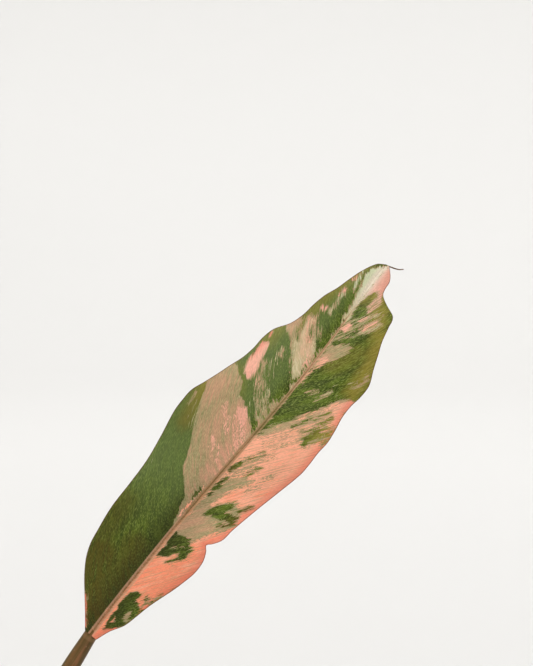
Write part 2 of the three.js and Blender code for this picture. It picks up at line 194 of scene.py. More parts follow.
# A material under construction.
class Finish:
    def __init__(self, name, **constants):
        self.material = bpy.data.materials.new(name)
        self.material.use_nodes = True
        self.tree = self.material.node_tree
        self.skin = self.tree.nodes["Principled BSDF"]
        for socket, value in constants.items():
            self.skin.inputs[socket.replace("_", " ")].default_value = value

    def add(self, kind, settings=None, inputs=None, out=0):
        node = self.tree.nodes.new("ShaderNode" + kind)
        for key, value in (settings or {}).items():
            setattr(node, key, value)
        for key, value in (inputs or {}).items():
            socket = node.inputs[key]
            if isinstance(value, Wire):
                self.tree.links.new(value.socket, socket)
            elif isinstance(value, tuple) and len(value) == 3 and socket.type == "RGBA":
                socket.default_value = (*value, 1)
            else:
                socket.default_value = value
        return Wire(self, node.outputs[out])

    def field(self, name):
        return self.add("Attribute", {"attribute_name": name}, out="Fac")

    def uv(self, name):
        pair = self.add("UVMap", {"uv_map": name})
        return self.parts(pair)[:2]

    def place(self):
        return self.add("TexCoord", out="Object")

    def parts(self, vector):
        split = self.add("SeparateXYZ", inputs={0: vector})
        return [Wire(self, socket) for socket in split.socket.node.outputs]

    def vector(self, x, y, z=0.0):
        return self.add("CombineXYZ", inputs={0: x, 1: y, 2: z})

    def noise(self, where, scale=1.0, detail=3.0, roughness=0.55):
        inputs = {"Vector": where, "Scale": scale, "Detail": detail, "Roughness": roughness}
        return self.add("TexNoise", inputs=inputs)

    def step(self, value, low, high):
        inputs = {"Value": value, "From Min": low, "From Max": high}
        return self.add("MapRange", {"interpolation_type": "SMOOTHSTEP"}, inputs)

    def mix(self, share, first, second):
        return self.add("Mix", {"data_type": "RGBA"}, {0: share, 6: first, 7: second}, out=2)

    def shade(self, colour, brightness):
        settings = {"data_type": "RGBA", "blend_type": "MULTIPLY"}
        return self.add("Mix", settings, {0: 1.0, 6: colour, 7: brightness}, out=2)

    def bump(self, height, distance, strength):
        inputs = {"Height": height, "Distance": distance, "Strength": strength}
        return self.add("Bump", inputs=inputs)

    def feed(self, **links):
        for socket, wire in links.items():
            self.tree.links.new(wire.socket, self.skin.inputs[socket.replace("_", " ")])
        return self.material


# The camera stands where the photograph's did, and looks at the tallest leaf

camera = {
    "lens": 85,
    "sensor": 36,
    "target": (132, -12, 362),  # millimetres
    "elevation": 5.5,
    "seenHeight": 293,  # of the plane through the target
    "clip": (0.05, 30),  # metres
}


def setCamera():
    data = bpy.data.cameras.new("camera")
    data.lens, data.sensor_width = camera["lens"], camera["sensor"]
    data.clip_start, data.clip_end = camera["clip"]
    eye = bpy.data.objects.new("camera", data)
    bpy.context.scene.collection.objects.link(eye)
    tilt = math.radians(camera["elevation"])
    away = Vector((0, -math.cos(tilt), math.sin(tilt)))
    distance = camera["seenHeight"] * camera["lens"] / camera["sensor"]
    eye.location = (Vector(camera["target"]) + away * distance) * mm
    eye.rotation_euler = (math.pi / 2 - tilt, 0, 0)
    bpy.context.scene.camera = eye


# The stage: a pale floor that curves up into a wall all round, and soft lights

stage = {
    "floorRadii": [0.02, 1.2, 2.6],  # of the rings of the flat floor, in metres like all sizes here
    "wallRadius": 4.4,
    "wallHeight": 5.0,
    "bendSteps": 16,
    "sides": 96,
    "colour": srgb(218, 217, 215),
    "wallColour": srgb(199, 198, 196),
    "colourChange": (1.6, 3.9),  # distance from the pot
    "roughness": 0.9,
    "world": 1.34,
    "worldColour": srgb(255, 255, 255),
    "lights": [
        # towards the light, how wide it looks in degrees, and strength
        ("key", (-0.22, -0.74, 0.78), 30, 2.0),
        ("fill", (0.8, -0.5, 0.5), 60, 0.35),
        ("rim", (0.2, 0.8, 0.7), 50, 0.9),
    ],
}


def setStage():
    flat, steps = stage["floorRadii"][-1], stage["bendSteps"]
    bend = stage["wallRadius"] - flat
    profile = [(radius, 0) for radius in stage["floorRadii"]]
    for i in range(1, steps + 1):
        a = math.pi / 2 * i / steps
        profile.append((flat + bend * math.sin(a), bend * (1 - math.cos(a))))
    profile.append((stage["wallRadius"], stage["wallHeight"]))
    floor = spinProfile(profile, stage["sides"], closed=False)
    floor.name = "stageFloor"
    smoothShade(floor, 60)
    paint = Finish("stagePaint", Roughness=stage["roughness"])
    x, y = paint.parts(paint.place())[:2]
    share = paint.step((x * x + y * y) ** 0.5, *stage["colourChange"])
    colour = paint.mix(share, stage["colour"], stage["wallColour"])
    floor.data.materials.append(paint.feed(Base_Color=colour))
    world = bpy.data.worlds.new("studio")
    world.use_nodes = True
    sky = world.node_tree.nodes["Background"]
    sky.inputs["Color"].default_value = (*stage["worldColour"], 1)
    sky.inputs["Strength"].default_value = stage["world"]
    bpy.context.scene.world = world
    for name, towards, width, power in stage["lights"]:
        data = bpy.data.lights.new(name, "SUN")
        data.angle, data.energy = math.radians(width), power
        lamp = bpy.data.objects.new(name, data)
        bpy.context.scene.collection.objects.link(lamp)
        lamp.rotation_euler = Vector(towards).to_track_quat("Z", "Y").to_euler()
    view = bpy.context.scene.view_settings
    view.view_transform, view.look, view.exposure, view.gamma = "Standard", "None", 0, 1


# Turns a profile of (radius, height) pairs, in metres, about the pot's axis.
def spinProfile(profile, steps, closed=True):
    deselectAll()
    mesh = bpy.data.meshes.new("turned")
    edges = [(i, i + 1) for i in range(len(profile) - 1)]
    mesh.from_pydata([(x, 0, z) for x, z in profile], edges, [])
    piece = bpy.data.objects.new("turned", mesh)
    bpy.context.scene.collection.objects.link(piece)
    pick(piece)
    bpy.ops.object.mode_set(mode="EDIT")
    bpy.ops.mesh.select_all(action="SELECT")
    bpy.ops.mesh.spin(steps=steps, angle=math.tau, center=(0, 0, 0), axis=(0, 0, 1))
    bpy.ops.mesh.select_all(action="SELECT")
    bpy.ops.mesh.remove_doubles(threshold=weldGap)
    bpy.ops.mesh.normals_make_consistent(inside=not closed)
    bpy.ops.object.mode_set(mode="OBJECT")
    return piece


setCamera()
setStage()
print("camera and stage are set")


# The blades

# Sizes in millimetres.
blade = {
    "thickness": 0.7,
    "marginThickness": 0.35,
    "thinFrom": 0.8,  # share of the way out to the margin
    "thinTip": 4,  # before the end of the blade
    "ribDepth": 4.6,  # how far the midrib stands out underneath, at the base
    "ribRadius": 3.0,
    "ribSoftness": 0.62,
    "ribTipShare": 0.16,
    "ribEnd": (6, 1),  # the rib fades from this far before the blade's end to this far past it
    "swell": 0.7,
    "dripRadii": (0.45, 0.14),
    # half width of the midrib's band on top, by the share of the leaf's length
    "band": [(0, 1.5), (0.3, 1.3), (0.5, 1.1), (0.66, 0.75), (0.85, 0.4), (1, 0.25)],
    "dripShare": 0.04,  # of the rows
    "crowding": 1.5,  # of the columns towards the midrib
    "grooveDepth": 0.28,
    "grooveWidth": 0.34,  # as a share of the band's
    "shoulder": (0.5, 0.4),  # height and width, as shares of the groove's depth and the band's width
    "leastWidth": 0.05,
    "veinSpacing": 5.2,
    "veinWander": 0.35,
    "veinWidth": 0.25,
    "veinDepth": 0.07,
    "veinStart": (0.5, 4),  # out from the midrib
    "veinEnd": 0.75,  # share of the way out to the margin
    "pucker": 0.16,
    "tipLean": (0.65, 0.5),  # veins lean more from this share of the length, by up to this much
}

# The plain shape of the leaves that the photograph doesn't show.
spear = {
    "rise": 0.62, "fall": 0.8, "fullness": 1.82, "foot": 3.4, "footLength": 0.2, "least": 0.9,
    "sway": 0.05, "swayTurn": 5,
    "veins": ((0.9, 0.02), (0.9, 0.02)),
    "bandShift": [(0, 0), (1, 0)],
}

# The tallest leaf's marks: tissue, how full it is (3 is solid, 0 broken up, less a few streaks),
# stroke radius, and points in millimetres along the blade and out from its midrib, plus to the
# left. A mark with no radius is an outline. Later marks cover earlier ones.
tallMarks = [
    ("green", 3, 0, [
        (-6, 0.2), (-6, 45), (112, 45), (119, 30), (110, 26.2), (100, 21.3), (95, 18.3), (90, 16),
        (84, 13.8), (81, 11), (78, 8.3), (75, 5.3), (72, 4.2), (68, 3), (63, 1.6), (60, 0.2),
    ]),
    ("pink", 1.2, 1.1, [(3, 6), (8, 9.5), (12.5, 12.8)]),
    ("beige", 0.2, 0.5, [(107, 29.8), (112, 30.4)]),
    ("pink", 0.4, 0.5, [(66, 1.4), (75, 1.3), (83, 1.5)]),
    ("green", 0.7, 0.55, [(76, 1.9), (81.5, 2.1)]),
    ("pink", -0.2, 1.0, [(96, 5.2), (99, 7.5)]),
    ("pink", -0.1, 1.0, [(98.5, 9.4), (101.5, 11.8)]),
    ("pink", -1.1, 0, [(98, 2), (104, 8), (112, 13.5), (117, 15), (119, 8), (113, 2.5), (106, 1.2)]),
    ("pink", -0.1, 0.8, [(108, 9.5), (113, 13)]),
    ("pink", -0.1, 0.7, [(113, 15.6), (117, 17.3)]),
    ("pink", -0.1, 0, [(103, 1.4), (108, 6), (115, 11.5), (118.6, 10), (114, 4), (109, 1)]),
    ("pink", 2, 0, [(113.4, 6.2), (116.6, 11.2), (119.4, 12.8), (121.2, 11), (120, 8), (116.6, 5.4)]),
    ("cream", -0.4, 0, [(112, 1), (118, 5), (122, 10), (124, 15), (121, 15), (117, 9), (110, 3)]),
    ("green", 2.4, 0, [
        (114, 0.8), (117, 4), (120.5, 8.5), (123, 13), (123.5, 15.5), (128, 18), (131.5, 22.5),
        (133, 26), (135, 34), (164, 34), (162, 19.3), (159, 16), (154, 11.5), (150, 8.5),
        (146, 4.5), (142, 0.8),
    ]),
    ("beige", 0.7, 0, [(117, 0.2), (121, 2.4), (125, 4.4), (131, 3.6), (133, 1.2), (131, 0.2)]),
    ("cream", 0.1, 0.8, [(120.5, 3), (126, 7.2)]),
    ("beige", 0.3, 0.8, [(124, 5.5), (130, 10.5)]),
    ("beige", 0.2, 0.9, [(127, 7), (134.5, 11.8)]),
    ("cream", 0.1, 0.6, [(129, 4.6), (134, 8.2)]),
    ("pink", 0.1, 0.8, [(131, 12), (135, 14.6)]),
    ("beige", 0.2, 0.8, [(135, 14.3), (143, 17.2)]),
    ("cream", -0.6, 0, [(122, 3), (127, 8), (134, 13), (142, 16), (143, 14), (136, 10), (128, 3)]),
    ("pink", 0.3, 0.7, [(148, 12.6), (152.5, 14.1)]),
    ("beige", 1.6, 0, [
        (131.4, 16), (131.6, 20), (134, 22), (140, 23), (144, 20), (141, 18), (136, 16.6),
    ]),
    ("pink", 3, 0, [
        (132, 16.8), (132.4, 20), (135, 22.2), (142, 23.2), (148, 23.4), (151.4, 21.6),
        (150, 19.8), (144, 18.8), (138, 17.4),
    ]),
    ("pink", 0.6, 0.5, [(153, 22.4), (155.2, 22.7)]),
    ("cream", 1.6, 0, [
        (139, -0.2), (145, 3.5), (149, 7), (153, 9.8), (157, 12.4), (160, 12), (163, 12.6),
        (168, 13.6), (171.8, 12.8), (171, 11), (166, 8.3), (162.5, 5), (160, 2.6), (156, 1),
        (153, -0.2),
    ]),
    ("beige", 1.2, 0, [(157, 13), (160, 17), (161, 22), (170, 20), (168.5, 15.6), (163, 15.2)]),
    ("pink", -0.3, 1.0, [(162, 8), (170.5, 12.4)]),
    ("pink", 0.1, 0.8, [(152, 1), (157, 2.6)]),
    ("green", 0.0, 0.4, [(164, 8.4), (169, 10.4)]),
    ("cream", -0.1, 0, [(160, 3), (165, 9.5), (172, 13), (173, 9.5), (167, 4.5), (162, 2.4)]),
    ("green", 0.9, 0.8, [(160, 12.4), (164, 14.2), (168, 14.6)]),
    ("green", 2.4, 0, [
        (154, 0.4), (161, 2.6), (164.5, 4.6), (168.5, 8.3), (173, 11), (173, 13.4), (169, 15.4),
        (171, 22), (216, 14), (215, 3), (208, 3.4), (198, 4), (190, 2.7), (182, 1.6), (176, 0.4),
    ]),
    ("green", 1.6, 0, [(140, 0.4), (143, 2), (150, 0.9), (154, 0.4)]),
    ("cream", 0.1, 0.45, [(163, 4.2), (168, 7.6)]),
    ("cream", -0.1, 0.4, [(166, 4.6), (171, 8)]),
    ("pink", 1.4, 1.0, [(176.4, 10.9), (178.2, 9.8)]),
    ("cream", 0.6, 0.7, [(177.4, 7.2), (179.2, 8)]),
    ("cream", 0.2, 0.35, [(177, 7.4), (184, 8.1)]),
    ("cream", 0.4, 0.9, [(185, 7.8), (190, 8.2)]),
    ("pink", 0.7, 0.75, [(187, 8.8), (192, 8.4)]),
    ("cream", 0.1, 0.4, [(181, 7.4), (187, 7.2)]),
    ("pink", 0.9, 0.7, [(197, 7.5), (200, 7.0)]),
    ("cream", 0.3, 0.9, [(194, 4.6), (198, 5.6), (203, 5.6)]),
    ("cream", 1.8, 0, [
        (175, -0.3), (181, 0.9), (186, 1.6), (193.5, 2.4), (198, 3.4), (203, 3.8), (207, 3.2),
        (213, 0.9), (226, 0), (214, -0.4), (190, -0.6),
    ]),
    ("green", 0.6, 0.45, [(184, 2.6), (193, 3.4), (200, 4.9), (206, 4.9)]),
    ("green", 1.4, 0.8, [(198, 8.6), (206, 6.2), (211, 3.4)]),
    ("green", 2, 0.75, [(205, 5.4), (210, 3.2), (214, 0.8)]),
    ("pink", 3, 0, [
        (-6, -0.2), (115, -0.2), (115, -2), (120, -4.3), (125, -7), (128.5, -9.5), (132, -13),
        (138, -16.3), (146, -19), (152, -22.5), (155, -40), (-6, -40),
    ]),
    ("beige", 1.2, 0, [
        (57, -0.8), (60, -9.6), (63, -11.2), (66, -12.3), (70, -14.5), (74, -17.5), (78, -20),
        (82, -20.4), (86, -15.5), (81, -8.5), (78, -6.2), (85, -7.3), (92, -10.6), (97, -12.8),
        (98, -9.5), (95, -6.3), (90, -4.6), (84, -2.8), (76, -0.8),
    ]),
    ("beige", -0.1, 0, [(80, -1), (93, -5), (102, -10), (112, -12), (106, -5), (98, -1)]),
    ("beige", 0.1, 1.1, [(88, -8), (98, -12.6)]),
    ("beige", 0.0, 0.8, [(93.5, -14.6), (99, -17.2)]),
    ("beige", 0.0, 0.7, [(100, -15.8), (105, -18.6)]),
    ("beige", -0.2, 0, [(112, -6), (118, -14), (126, -19), (132, -19), (125, -11), (117, -5)]),
    ("beige", 0.2, 0.8, [(95, -4.8), (103, -9)]),
    ("beige", 0.0, 1.0, [(106, -9), (113, -13)]),
    ("beige", 1, 0, [
        (112, -1.4), (118, -5), (123, -8.3), (128, -12.6), (135, -17.6), (141, -20.6),
        (150, -23), (143, -16), (133, -12), (126, -7), (118, -2),
    ]),
    ("green", 2, 0, [
        (6, -3), (12, -2.6), (17, -2.2), (22, -1.8), (26, -2.4), (28.6, -4.6), (28.2, -6.8),
        (25, -7.8), (24, -9.5), (25.5, -13), (20, -11.6), (15, -10.6), (11, -8), (8, -5),
    ]),
    ("pink", 0.7, 0.5, [(11.5, -4.4), (14, -4.4)]),
    ("beige", 0.8, 0.9, [(15.6, -8.5), (19, -7.9)]),
    ("green", 0.1, 0.45, [(25, -10.4), (31, -10.4)]),
    ("green", -0.1, 0.5, [(28, -12.3), (35, -14.6)]),
    ("green", 0.3, 0.5, [(24, -13.4), (33, -15.6), (42, -18.6)]),
    ("green", 1.8, 0, [
        (45.5, -1.4), (47.5, -3), (49.5, -5.4), (52.6, -7), (53.6, -8.6), (50, -8.2), (47, -6.2),
        (49, -9), (52, -10.5), (54, -12.7), (56, -11.8), (59, -12.2), (61.4, -9.6), (60.6, -5),
        (60.2, -1.6), (54, -1.2),
    ]),
    ("pink", 0.9, 0.5, [(50, -7.2), (53, -8.4)]),
    ("beige", 0.1, 0.35, [(53, -4.4), (58, -8.6)]),
    ("green", 1.2, 0, [
        (74.6, -7.2), (77, -6.8), (80, -8), (84, -11.5), (86.4, -14.4), (83, -14.4), (80.4, -12.4),
        (81, -16.5), (83, -19.7), (79.4, -19), (76.4, -14.2), (75, -10.5),
    ]),
    ("green", 0.5, 0.6, [(83.4, -17), (89, -20.3)]),
    ("green", 0.2, 0.6, [(74, -14.6), (79, -19.4)]),
    ("green", 1.0, 0.95, [(86, -3), (92.6, -4.2)]),
    ("green", 1.0, 1.05, [(95.8, -2.9), (101.6, -4.2)]),
    ("green", 0.5, 0.5, [(81, -2.3), (87, -2.9)]),
    ("green", -0.1, 0.8, [(104, -6), (111, -9.6)]),
    ("green", -0.2, 0.7, [(98, -9.4), (104, -11.4)]),
    ("green", 1.5, 0, [
        (123, -18.6), (126.5, -17.8), (129, -18.8), (133, -20), (137, -22), (139, -25.8),
        (133, -25.8), (129.5, -23.6), (126, -21.8), (124, -20.6),
    ]),
    ("beige", 0.2, 0.6, [(126, -21), (131.5, -24.6)]),
    ("pink", 0.2, 0.5, [(133, -22.6), (138, -24.8)]),
    ("green", 0.6, 0.6, [(133.6, -18.4), (141, -22)]),
    ("green", 0.4, 0.5, [(127, -10.4), (135, -15)]),
    ("green", 0.3, 0.45, [(136, -16.4), (143, -19.6)]),
    ("green", 0.5, 0.65, [(128, -15.2), (134.4, -20.6)]),
    ("green", 0.3, 0.6, [(129, -26), (138, -26.4), (147, -25.8)]),
    ("green", 0.4, 0.8, [(118, -2), (126, -4.6)]),
    ("green", 2.6, 0, [
        (115, -0.8), (117, -2.3), (122, -3.8), (127, -7), (131, -9.5), (136, -12.6), (142, -15.6),
        (149, -18.8), (153.4, -22.5), (155, -40), (230, -40), (214, -9), (202, -8), (199, -5),
        (196, -2.5), (192, -0.6),
    ]),
    ("pink", 0.7, 0.6, [(132, -10.8), (139.5, -15)]),
    ("pink", 0.9, 0.9, [(140, -17), (146.5, -19.6)]),
    ("pink", 1.2, 1.3, [(144, -20.6), (152.6, -24)]),
    ("beige", 0.3, 0.55, [(143, -6.2), (146.4, -9)]),
    ("cream", 0.3, 0.6, [(143, -11.4), (150.4, -14.6)]),
    ("beige", 0.1, 0.9, [(158, -20.8), (165, -23.6)]),
    ("pink", 0.7, 0.7, [(145.6, -1.4), (152, -1.6)]),
    ("beige", 1.6, 0, [
        (151, -0.4), (154, -2.3), (159, -4.5), (163, -7.3), (168, -9.3), (172.6, -10.2),
        (172, -7), (169, -4.5), (168, -2), (169, -0.6),
    ]),
    ("pink", 0.3, 1.0, [(152.5, -1.3), (160, -3.6)]),
    ("cream", -0.2, 0, [(170, -1), (176, -8), (186, -14.4), (192, -12), (184, -4), (176, -0.8)]),
    ("pink", 0.9, 1.4, [(175.8, -2), (179.6, -3)]),
    ("cream", 0.2, 0.7, [(178, -4.6), (184.5, -7.2)]),
    ("beige", 0.2, 1.6, [(180.4, -8.8), (187.4, -12.8)]),
    ("green", 2.4, 0, [
        (180.5, -0.8), (183, -3.6), (186, -6), (189, -6.6), (191, -4.8), (195, -4.4),
        (199, -4.2), (198, -2), (194, -0.9),
    ]),
    ("pink", 0.9, 1.1, [(182.4, -9), (187.6, -11.6)]),
    ("pink", 0.5, 0.7, [(184, -5.9), (188.4, -8.2)]),
    ("cream", 0.1, 0.5, [(188, -8), (191, -10)]),
    ("pink", 0.3, 1.4, [(190.5, -5.8), (196, -7.4)]),
    ("pink", 0.6, 1.1, [(196, -7.8), (201, -5.6)]),
    ("pink", 0.1, 0.6, [(192, -4.8), (198, -5.6)]),
    ("pink", 2, 0, [
        (190, -0.5), (196, -2.2), (200, -4.4), (203, -9), (212, -9), (226, 0), (206, -0.4),
    ]),
    ("cream", 0.7, 0.7, [(180, -0.1), (196, -0.4), (212, -0.3)]),
]

# Soft golden tints: amount, radius of the stroke and its points.
tallOlive = [
    (0.9, 7, [(4, 3), (18, 14), (32, 18)]),
    (0.6, 5, [(24, 5), (44, 9)]),
    (0.5, 4, [(40, 22), (58, 24)]),
    (0.9, 2.5, [(100, 26), (110, 28), (118, 30)]),
    (0.3, 2.5, [(125, 17), (133, 24)]),
    (0.5, 2.5, [(150, 22), (158, 21)]),
    (0.7, 1.8, [(166, 15), (182, 13), (196, 9.6), (208, 5.8)]),
    (0.6, 1.6, [(96, -3.4), (98, -3.8)]),
    (0.8, 2.5, [(77, -18), (89, -20)]),
    (0.9, 3.5, [(128, -24), (146, -25)]),
    (1.0, 3.2, [(156, -22.5), (166, -22), (184, -17.5)]),
    (0.9, 3.5, [(186, -14), (194, -10), (198, -6)]),
    (0.4, 3, [(160, -8), (172, -14)]),
    (0.8, 1.2, [(193, -2), (199, -3.2)]),
]

# Pink blush on the pale tissue, given alike.
tallBlush = [
    (1.0, 3.5, [(90, 2), (104, 3), (114, 5)]),
    (0.9, 2.5, [(112, 8), (119, 11)]),
    (0.6, 3, [(98, 9), (106, 14), (114, 16)]),
    (0.6, 3, [(114, 27), (124, 25)]),
    (0.8, 2.5, [(156, 5), (163, 9), (169, 12)]),
    (0.7, 2, [(134, 18), (150, 21)]),
    (0.9, 2, [(151, -1), (161, -4)]),
    (0.6, 2, [(163, 17), (168, 16)]),
    (0.35, 4, [(58, -3), (70, -6)]),
    (0.6, 3, [(118, -8), (136, -19), (148, -23)]),
]

# Where tissues meet on a clean line, given alike.
tallCalm = [
    (1, 3, [(54, 1.5), (64, 2.6), (75, 6.5), (90, 16), (100, 21.3), (110, 26.2), (117, 30)]),
    (0.8, 3, [(120, 8), (120, 14), (130, 20), (134, 25)]),
    (0.75, 3, [(105, 3), (117, 9)]),
    (0.7, 4, [(136, 20), (150, 21)]),
    (0.8, 3, [(6, -3), (16, -3), (30, -3), (60, -4)]),
    (0.9, 4, [(196, -1), (206, 0)]),
    (0.8, 1.5, [(180, 1), (195, 3), (206, 3.6), (213, 1)]),
]

# Zones of green strewn with pale flecks, given alike.
tallMarble = [
    (0.95, 4, [(101, 9), (110, 12), (118, 15)]),
    (0.9, 6, [(106, 22), (118, 22)]),
    (0.85, 2.8, [(130, 11), (141, 14), (152, 13.5)]),
    (0.9, 3.5, [(122, 5), (133, 11)]),
    (0.8, 3, [(137, 28), (150, 26)]),
    (0.7, 2.5, [(160, 16), (170, 14)]),
    (0.5, 1.5, [(196, 6), (204, 5.6)]),
    (0.3, 3.5, [(60, 24), (76, 26)]),
    (0.9, 3.5, [(180, -4), (190, -9)]),
    (0.7, 2.5, [(128, -15), (140, -20)]),
    (0.6, 2.5, [(142, -9), (152, -16)]),
    (0.8, 2.5, [(158, -20), (166, -23)]),
]

# Each leaf repeats the values that the part's source gives it.
leaves = {
    "tall": {
        "node": 115, "heading": -8, "rootRise": 80,
        "base": (55.2, -24, 229.1), "axis": (-9, 51.6), "facing": (-0.02, -1, 0.12),
        "length": 213.5, "fold": 0.2, "curl": 0.16, "bend": 30,
        "wave": (3.2, (3.3, 0.42), (3.5, 0.1)),
        "drip": [(0, 0), (0.6, -1.8), (1.4, -3.8), (2.4, -5.4), (3.6, -6.5)],
        "outline": {
            "left": [
                (0, 4), (6.5, 9), (12.5, 14), (19, 19.3), (25.5, 23.5), (32, 26), (38.5, 27.1),
                (51, 28.7), (64, 29), (76, 29.6), (88, 31.5), (100.5, 33.8), (106.5, 34),
                (112.5, 33.6), (118.5, 31.4), (125, 29.2), (131.5, 27.3), (138, 25.3),
                (144.5, 24.3), (151, 24), (157, 22.5), (163.5, 18.4), (170, 16.4), (176, 15.7),
                (182.5, 14.4), (189, 12.2), (197, 10.3), (204, 8.3), (211, 5), (213.5, 1.6),
            ],
            "right": [
                (0, 2.5), (7, 4.8), (13.5, 8.2), (20, 9.8), (26, 11.1), (32, 12.9), (38.5, 15),
                (44.5, 16.5), (51, 17.7), (57.5, 17.4), (62, 15.6), (64.2, 13.9), (66.2, 15.6),
                (70.3, 18), (76.5, 18.8), (88, 21.2), (101, 24.2), (113, 26.7), (119, 27),
                (125.5, 26.8), (131.5, 27.2), (138, 26.5), (144.5, 25.5), (151, 25.5),
                (157.5, 26.4), (164, 26.2), (170.5, 23.4), (176.5, 21), (182.5, 18.6), (189, 17),
                (195, 15.3), (197.5, 10.2), (200, 6.3), (203, 5.1), (207.5, 4.6), (210.5, 3),
                (213.5, 0.2),
            ],
            "midrib": [
                (0, 0.9), (14, 1.3), (35, 1.6), (63, 1.7), (89, 1.5), (106, 0.9), (124, 0.2),
                (141, -0.2), (169, -0.1), (192, 0.9), (202, 1.7), (209, 1.8), (213.5, 0.7),
            ],
        },
        "veins": ((0.5, 0.0386), (1.45, 0.0)),
        "rows": 350, "columns": 60, "seed": 3,
        "marks": tallMarks, "olive": tallOlive, "marble": tallMarble, "blush": tallBlush,
        "calm": tallCalm,
        "bandShift": [(0, 0), (0.3, -0.2), (0.45, -0.6), (0.65, -0.5), (0.85, -0.1), (1, 0)],
    },
    "back": {
        "node": 111, "heading": 138, "rootRise": 66,
        "base": (-38, 32, 236), "axis": (140, 56), "facing": (0.25, -1, 0.45),
        "length": 186, "width": 29, "lobes": ((2.6, 0.9, 0.1), (3.1, 0.2, 0.09)),
        "fold": 0.24, "curl": 0.2, "bend": 52,
        "wave": (3.4, (3.4, 0.1), (2.9, 0.55)),
        "drip": [(0, 0), (5, 1.5), (9, 5)],
        "rows": 190, "columns": 36, "seed": 11, "mood": "caramel",
    },
    "front": {
        "node": 108, "heading": 256, "rootRise": 56,
        "base": (-14, -50, 196), "axis": (256, 44), "facing": (-0.2, -0.3, 1),
        "length": 166, "width": 28, "lobes": ((3.2, 0.4, 0.09), (2.5, 0.8, 0.1)),
        "fold": 0.22, "curl": 0.2, "bend": 66,
        "wave": (3, (2.8, 0.7), (3.4, 0.2)),
        "drip": [(0, 0), (5, -1), (9, -4)],
        "rows": 180, "columns": 36, "seed": 23, "mood": "pink",
    },
    "left": {
        "node": 105, "heading": 188, "rootRise": 52,
        "base": (-52, -8, 186), "axis": (190, 38), "facing": (0, -1, 0.8),
        "length": 150, "width": 26, "lobes": ((2.8, 0.1, 0.1), (3.3, 0.6, 0.08)),
        "fold": 0.22, "curl": 0.18, "bend": 62,
        "wave": (2.8, (3.1, 0.3), (2.6, 0.9)),
        "drip": [(0, 0), (5, 1), (8, 4)],
        "rows": 170, "columns": 34, "seed": 31, "mood": "green",
    },
    "low_back": {
        "node": 102, "heading": 52, "rootRise": 44,
        "base": (33, 40, 158), "axis": (50, 20), "facing": (0.1, -0.5, 1),
        "length": 138, "width": 25, "lobes": ((2.4, 0.5, 0.09), (2.9, 0.0, 0.1)),
        "fold": 0.2, "curl": 0.2, "bend": 54,
        "wave": (2.6, (2.7, 0.0), (3.2, 0.45)),
        "drip": [(0, 0), (4, -1), (7, -3)],
        "rows": 160, "columns": 34, "seed": 47, "mood": "caramel",
    },
    "low_front": {
        "node": 100, "heading": 322, "rootRise": 40,
        "base": (38, -34, 146), "axis": (325, 16), "facing": (0, -0.7, 1),
        "length": 128, "width": 24, "lobes": ((3.0, 0.2, 0.08), (2.3, 0.7, 0.1)),
        "fold": 0.2, "curl": 0.18, "bend": 58,
        "wave": (2.4, (3.0, 0.6), (2.5, 0.15)),
        "drip": [(0, 0), (4, 1), (7, 3)],
        "rows": 150, "columns": 34, "seed": 59, "mood": "green",
    },
}


def direction(heading, rise):
    h, r = math.radians(heading), math.radians(rise)
    return np.array([math.cos(h) * math.cos(r), math.sin(h) * math.cos(r), math.sin(r)])


def bladeFrame(leaf):
    along = direction(*leaf["axis"])
    up = np.array(leaf["facing"], float)
    up -= along * (up @ along)
    up /= np.linalg.norm(up)
    return along, np.cross(up, along), up, np.array(leaf["base"], float)


def middleAt(leaf, s):
    t = np.minimum(s, leaf["length"]) / leaf["length"]
    if "outline" in leaf:
        midrib = curveAt(leaf["outline"]["midrib"], t * leaf["length"])
    else:
        midrib = leaf["width"] * spear["sway"] * np.sin(spear["swayTurn"] * t)
    past = np.maximum(s - leaf["length"], 0)
    return midrib + np.where(past > 0, curveAt(leaf["drip"], past), 0)


def edgeAt(leaf, s, isLeft):
    sign = np.where(isLeft, 1.0, -1.0)
    t = np.clip(s / leaf["length"], 0, 1)
    if "outline" in leaf:
        left = curveAt(leaf["outline"]["left"], s)
        right = curveAt(leaf["outline"]["right"], s)
    else:
        shape = spear["fullness"] * t ** spear["rise"] * (1 - t) ** spear["fall"]
        foot = np.maximum(spear["foot"] * (1 - t / spear["footLength"]), spear["least"])
        sides = []
        for count, phase, depth in leaf["lobes"]:
            lobe = 1 + depth * np.sin(math.tau * (count * t + phase))
            sides.append(np.maximum(leaf["width"] * shape * lobe, foot))
        left, right = sides
    width = np.where(isLeft, left, right)
    past = np.clip((s - leaf["length"]) / leaf["drip"][-1][0], 0, 1)
    thick, thin = blade["dripRadii"]
    drip = middleAt(leaf, s) + sign * (thick + (thin - thick) * past)
    return np.where(s > leaf["length"], drip, sign * width)


# A point of the upper face, in millimetres. v is 1 at the left margin and -1 at the right.
def bladePoint(leaf, s, v, relief):
    along, left, up, base = bladeFrame(leaf)
    isLeft = v >= 0
    middle, edge = middleAt(leaf, s), edgeAt(leaf, s, isLeft)
    out = np.abs(v)
    across = middle + (edge - middle) * out
    width = np.abs(edge - middle)
    height, leftWave, rightWave = leaf["wave"]
    count = np.where(isLeft, leftWave[0], rightWave[0])
    phase = np.where(isLeft, leftWave[1], rightWave[1])
    t = s / leaf["length"]
    swell = np.sin(math.pi * np.minimum(t, 1)).clip(0) ** blade["swell"]
    wave = height * swell * out**2 * np.sin(math.tau * (count * t + phase))
    lift = width * (leaf["fold"] * out - leaf["curl"] * out**3) + wave + relief
    bend = math.radians(leaf["bend"])
    radius, angle = leaf["length"] / bend, bend * t
    x = radius * np.sin(angle) + lift * np.sin(angle)
    z = radius * (np.cos(angle) - 1) + lift * np.cos(angle)
    return base + np.outer(x, along) + np.outer(across, left) + np.outer(z, up)


